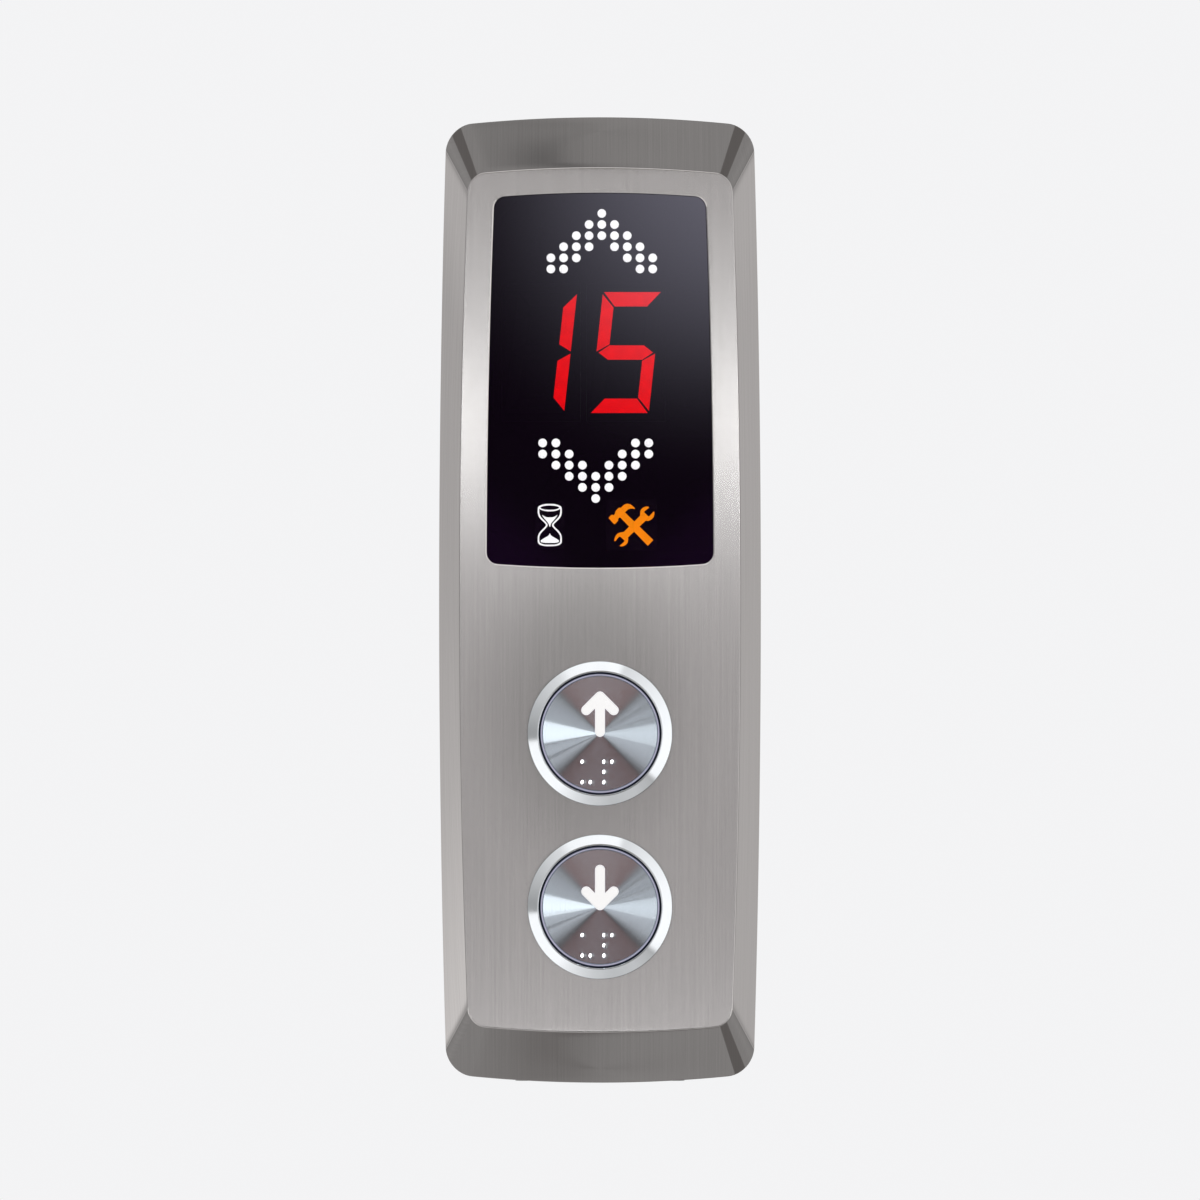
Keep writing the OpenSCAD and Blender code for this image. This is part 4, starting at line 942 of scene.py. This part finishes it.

# %% [markdown]
# ### Brushed stainless
# A belt drags fine grit along the sheet before it is folded, so the lines run up the panel and on
# over the bevels. Stretched noise gives lines about a third of a millimetre wide and some
# centimetres long. The grit's own scratches are finer than a pixel, so their effect on reflections
# is left to the shader's anisotropy, which smears light across the lines. The bevels are polished
# smoother than the face. Below the window the face's colour is darkened in a soft oval patch:
# that patch is painted shade.

# %% Brushed stainless
# Middle and half sizes of a soft oval where the face's colour is darkened: painted shade.
painted_shade_x, painted_shade_z = -4.5 * MM, -30 * MM
painted_shade_half_w, painted_shade_half_h = 31 * MM, 45 * MM
line_height = 6e-6

shader, (x, y, z) = begin("brushed_faceplate")
nx, ny = shader.axes(shader.node("ShaderNodeNewGeometry", output="Normal"))[:2]
across = x + y * abs(nx).math("GREATER_THAN", 0.6)
long_lines = noise(shader, across * 2600, across * 900, z * 14, 3)
short_lines = noise(shader, across * 7000, across * 3000, z * 90, 2)
cloud = noise(shader, x * 30, y * 30, z * 9, 2)
lines = long_lines * 0.6 + short_lines * 0.4
bevel_share = 1 - abs(ny).ease(0.93, 0.98)
# Inside this oval the face's colour darkens by up to about a quarter: painted shade.
from_middle = (((x - painted_shade_x) / painted_shade_half_w) ** 2
               + ((z - painted_shade_z) / painted_shade_half_h) ** 2) ** 0.5
painted_shade = (1 - from_middle.ease(0.35, 1.25)) * abs(ny).ease(0.97, 0.99)
clean = shader.mix(lines * 1.6 + cloud * 0.4 - 0.5, rgb(0.545, 0.538, 0.533),
                   rgb(0.655, 0.646, 0.640))
finish(shader,
       base_color=shader.mix(painted_shade * 0.24, clean, grey(0.0)),
       metallic=1.0, roughness=bevel_share * 0.07 + (1 - bevel_share) * (0.20 + lines * 0.08),
       anisotropic=0.9, normal=bumped(shader, lines, line_height, 1 - bevel_share * 0.85))

# %% [markdown]
# ### Turned steel
# A bezel is polished on the lathe, which leaves faint rings. A cap is finished with emery held
# against it while it spins: its rings are deeper, and each one spreads light outward and inward,
# never sideways. That is why a spun cap shows wedges of light that meet at its middle. Its rings
# are a sawtooth, steep towards the middle and gentle towards the edge, and they stop at the raised
# dots, which are left smooth. The dots' colour is darker than the cap's: a painted shade.

# %% Turned steel
def ring_radius(x, z):
    """Distance from the nearer button's axis."""
    upper, lower = BUTTONS["up"], BUTTONS["down"]
    middle = lower + (upper - lower) * z.math("GREATER_THAN", (upper + lower) / 2)
    return (x ** 2 + (z - middle) ** 2) ** 0.5


def rings_of(shader, radius, per_metre):
    """Noise from 0 to 1 that is the same all round an axis."""
    return shader.node("ShaderNodeTexNoise", {"noise_dimensions": "1D"},
                       {"W": radius * per_metre, "Scale": 1.0, "Detail": 1.0})


groove_w, steep_part, groove_height = 0.2 * MM, 0.26, 1.25e-5

shader, (x, y, z) = begin("polished_bezel")
radius = ring_radius(x, z)
fine = rings_of(shader, radius - y, 9000)
haze = noise(shader, x * 300, y * 300, z * 300)
finish(shader, base_color=shader.mix(haze, rgb(0.82, 0.88, 0.92), rgb(0.89, 0.945, 0.98)),
       metallic=1.0, roughness=0.06 + haze * 0.06, normal=bumped(shader, fine, 1.2e-6))

shader, (x, y, z) = begin("spun_cap")
radius = ring_radius(x, z)
tone = rings_of(shader, radius, 5000)
depth = rings_of(shader, radius, 1500)
place_in_groove = (radius / groove_w).math("FRACT")
groove = (place_in_groove / steep_part).math("MINIMUM", (1 - place_in_groove) / (1 - steep_part))
# raised marks the dots: they are smoother and unbumped, and their darker colour is painted shade.
raised = (-y).ease(cap_top + 0.02 * MM, cap_top + 0.06 * MM)
spun = shader.mix(tone, rgb(0.51, 0.585, 0.65), rgb(0.62, 0.71, 0.785))
finish(shader, base_color=shader.mix(raised, spun, rgb(0.42, 0.42, 0.44)),
       metallic=1.0, roughness=0.03 + tone * 0.03 + raised * 0.14,
       normal=bumped(shader, groove * (0.8 + depth * 0.4), groove_height, 1 - raised))

# %% [markdown]
# ### Plain metals
# The back plate is zinc coated sheet with the faint cloudy spangle of the coating, and the screws,
# nuts, studs and springs are bright zinc too. The earth stud and its nut are brass, and the
# capacitors stand in drawn aluminium cans.

# %% Plain metals
shader, (x, y, z) = begin("back_sheet")
spangle = shader.node("ShaderNodeTexVoronoi", {"feature": "F1"},
                      {"Vector": shader.vector(x, y, z), "Scale": 260.0, "Randomness": 1.0}, 1)
level = shader.axes(spangle)[0]
cloud = noise(shader, x * 60, y * 60, z * 60, 4)
finish(shader,
       base_color=shader.mix(level * 0.5 + cloud * 0.5, rgb(0.50, 0.51, 0.53),
                             rgb(0.66, 0.67, 0.69)),
       metallic=1.0, roughness=0.34 + level * 0.1 + cloud * 0.08,
       normal=bumped(shader, cloud, 2e-5))

shader, (x, y, z) = begin("steel_fasteners")
cloud = noise(shader, x * 500, y * 500, z * 500, 3)
finish(shader, base_color=shader.mix(cloud, rgb(0.50, 0.51, 0.52), rgb(0.70, 0.71, 0.72)),
       metallic=1.0, roughness=0.22 + cloud * 0.16, normal=bumped(shader, cloud, 1e-5))

shader, (x, y, z) = begin("earth_brass")
cloud = noise(shader, x * 700, y * 700, z * 700, 3)
finish(shader, base_color=shader.mix(cloud, rgb(0.52, 0.36, 0.13), rgb(0.72, 0.53, 0.22)),
       metallic=1.0, roughness=0.24 + cloud * 0.18, normal=bumped(shader, cloud, 1e-5))

shader, (x, y, z) = begin("can_aluminium")
grain = noise(shader, x * 900, y * 200, z * 900, 2)
finish(shader, base_color=shader.mix(grain, rgb(0.62, 0.63, 0.65), rgb(0.80, 0.81, 0.82)),
       metallic=1.0, roughness=0.26 + grain * 0.12, normal=bumped(shader, grain, 6e-6))

# %% [markdown]
# ### Window and display
# The window is smoked acrylic, so dark that only lit pieces show through. Its tint lies in the
# front of the sheet and fades towards the clear back, where the bars touch it, so that each bar
# shows one even colour. Its reflections are tinted violet, as a coated window's are. The light
# pipes glow forward only, at a strength that leaves them the photograph's colours behind the tint.

# %% Window and display
shader, (x, y, z) = begin("smoked_lens")
wipe = noise(shader, x * 90, y * 90, z * 25, 3)
tint_front = panel_depth - 0.2 * MM
smoke = (-y).ease(inner_level, tint_front)
finish(shader, base_color=shader.mix(smoke, grey(1.0), rgb(0.16, 0.14, 0.18)),
       roughness=0.015 + wipe * 0.01, ior=1.49,
       transmission_weight=1.0, specular_tint=rgb(0.24, 0.045, 0.40),
       coat_weight=0.1, coat_roughness=0.5)

shader, (x, y, z) = begin("mask_black")
grain = noise(shader, x * 2500, y * 2500, z * 2500, 2)
finish(shader, base_color=shader.mix(grain, rgb(0.004, 0.003, 0.005), rgb(0.008, 0.007, 0.009)),
       roughness=0.62 + grain * 0.2, specular_ior_level=0.08, normal=bumped(shader, grain, 2e-5))

shader, (x, y, z) = begin("dark_bars")
grain = noise(shader, x * 900, y * 900, z * 900, 2)
finish(shader, base_color=shader.mix(grain, rgb(0.006, 0.004, 0.006), rgb(0.010, 0.007, 0.009)),
       roughness=0.4 + grain * 0.2, specular_ior_level=0.12, normal=bumped(shader, grain, 1e-5))


def glowing(slot_name, body, glow, strength, glow_edge):
    """A light pipe: its colour in daylight, and a glow that is a little uneven, as moulded."""
    shader, (x, y, z) = begin(slot_name)
    ny = shader.axes(shader.node("ShaderNodeNewGeometry", output="True Normal"))[1]
    cloud = noise(shader, x * 420, y * 420, z * 420, 2)
    forward = shader.mix((-ny).ease(0.7, 0.9), grey(0.0), shader.mix(cloud, glow_edge, glow))
    finish(shader, base_color=shader.mix(cloud, body, glow), roughness=0.35 + cloud * 0.15,
           emission_color=forward, emission_strength=strength,
           normal=bumped(shader, cloud, 1e-5))


glowing("white_light", rgb(0.75, 0.75, 0.76), rgb(0.955, 0.985, 0.925), 1.8,
        rgb(0.94, 0.97, 0.91))
glowing("red_light", rgb(0.55, 0.02, 0.02), rgb(1.0, 0.0, 0.001), 1.40, rgb(0.96, 0.0, 0.002))
glowing("orange_light", rgb(0.75, 0.25, 0.02), rgb(1.0, 0.39, 0.002), 1.55,
        rgb(0.95, 0.37, 0.003))

# %% [markdown]
# ### Plastics, rubber and boards
# Moulded plastic has a fine spark-eroded texture and rubber a duller one. The carrier round each
# cap is clear plastic; its outer rim is darkened in colour as painted shade, and a faint glow on it
# is painted light. The white arrow insert glows faintly too, as painted light. A board is green
# solder mask over copper: the tracks show as paler lines on a grid, with bright dots where a layer
# is joined to the next.

# %% Plastics and rubber
def moulded(slot_name, dark, light, roughness, grain_size=0.35 * MM, depth=1.5e-5, **more):
    """Moulded plastic or rubber: a fine grain, and a slow cloud in its colour."""
    shader, (x, y, z) = begin(slot_name)
    grain = noise(shader, x / grain_size, y / grain_size, z / grain_size, 3)
    cloud = noise(shader, x * 60, y * 60, z * 60, 2)
    finish(shader, base_color=shader.mix(grain * 0.6 + cloud * 0.4, dark, light),
           roughness=roughness + (grain - 0.5) * 0.16, normal=bumped(shader, grain, depth), **more)


moulded("black_rubber", rgb(0.010, 0.010, 0.010), rgb(0.030, 0.030, 0.031), 0.72)
moulded("black_tape", rgb(0.012, 0.012, 0.013), rgb(0.028, 0.028, 0.030), 0.6, 0.8 * MM)
moulded("housing_black", rgb(0.010, 0.010, 0.012), rgb(0.026, 0.026, 0.029), 0.46)
# The white insert also glows faintly: painted light that brightens the arrow.
moulded("white_insert", rgb(0.84, 0.845, 0.85), rgb(0.93, 0.935, 0.94), 0.42, 0.6 * MM, 6e-6,
        emission_color=rgb(0.97, 0.985, 0.98), emission_strength=0.34)
moulded("led_package", rgb(0.70, 0.66, 0.50), rgb(0.88, 0.85, 0.72), 0.35)
moulded("terminal_green", rgb(0.020, 0.19, 0.06), rgb(0.035, 0.27, 0.09), 0.42)
moulded("connector_ivory", rgb(0.66, 0.62, 0.50), rgb(0.80, 0.77, 0.66), 0.40)
moulded("plunger_red", rgb(0.34, 0.020, 0.018), rgb(0.50, 0.035, 0.030), 0.38)
moulded("wire_red", rgb(0.42, 0.020, 0.016), rgb(0.58, 0.035, 0.028), 0.36)
moulded("wire_blue", rgb(0.016, 0.055, 0.30), rgb(0.025, 0.085, 0.44), 0.36)

shader, (x, y, z) = begin("halo_clear")
cloud = noise(shader, x * 700, y * 700, z * 700, 2)
# The carrier's outer rim, darkened in colour: painted shade.
rim = ring_radius(x, z).ease(bore_r - 0.62 * MM, bore_r - 0.54 * MM)
clear_part = shader.mix(cloud, rgb(0.40, 0.40, 0.52), rgb(0.50, 0.50, 0.64))
finish(shader, base_color=shader.mix(rim, clear_part, rgb(0.012, 0.022, 0.052)),
       roughness=0.26 + cloud * 0.14, ior=1.49, normal=bumped(shader, cloud, 8e-6),
       # A faint glow over the clear part, weaker at the rim: painted light.
       emission_color=shader.mix(rim, rgb(0.12, 0.118, 0.145), rgb(0.006, 0.013, 0.032)),
       emission_strength=1.0)

# %% Circuit boards
track_pitch, track_half_w = 1.27 * MM, 0.16
lanes_in_cell, lanes_between_holes = 4, 3


def in_lane(lane, lanes):
    """Place in a group of lanes, from -0.5 to 0.5."""
    return (lane / lanes).math("FRACT") - 0.5


shader, (x, y, z) = begin("board_green")
lane_x, lane_z = x / track_pitch, z / track_pitch
cell_x, cell_z = ((lane / lanes_in_cell).math("FLOOR") for lane in (lane_x, lane_z))
cell = shader.node("ShaderNodeTexNoise", None,
                   {"Vector": shader.vector(cell_x, 0.0, cell_z), "Scale": 0.77, "Detail": 0.0})
track_x, track_z = (abs(in_lane(lane, 1)).math("LESS_THAN", track_half_w)
                    for lane in (lane_x, lane_z))
upright = cell.math("GREATER_THAN", 0.5)
track = track_x * upright + track_z * (1 - upright)
from_hole = in_lane(lane_x, lanes_between_holes) ** 2 + in_lane(lane_z, lanes_between_holes) ** 2
hole = from_hole.math("LESS_THAN", 0.008)
weave = noise(shader, x * 2600, y * 2600, z * 2600, 1)
mask_colour = shader.mix(track, rgb(0.008, 0.085, 0.030), rgb(0.020, 0.165, 0.055))
finish(shader, base_color=shader.mix(hole, mask_colour, rgb(0.62, 0.58, 0.42)),
       metallic=hole * 0.8, roughness=0.30 + weave * 0.14,
       normal=bumped(shader, track + weave * 0.3, 2e-5))
print("slots left:", sorted(set(SLOTS) - finished))

# %% [markdown]
# ## Linking the lamps
# Every piece is there now, so each lamp that is meant for one piece gets a collection with just
# that piece in it. Light linking is a setting of the lamp, and the pieces stay as they are.

# %% Lamps for one piece
for made, receivers in LIT_BY:
    group = bpy.data.collections.new(made.name + "_lights")
    for name in receivers:
        group.objects.link(bpy.data.objects[name])
    made.light_linking.receiver_collection = group
print("linked lamps:", len(LIT_BY))
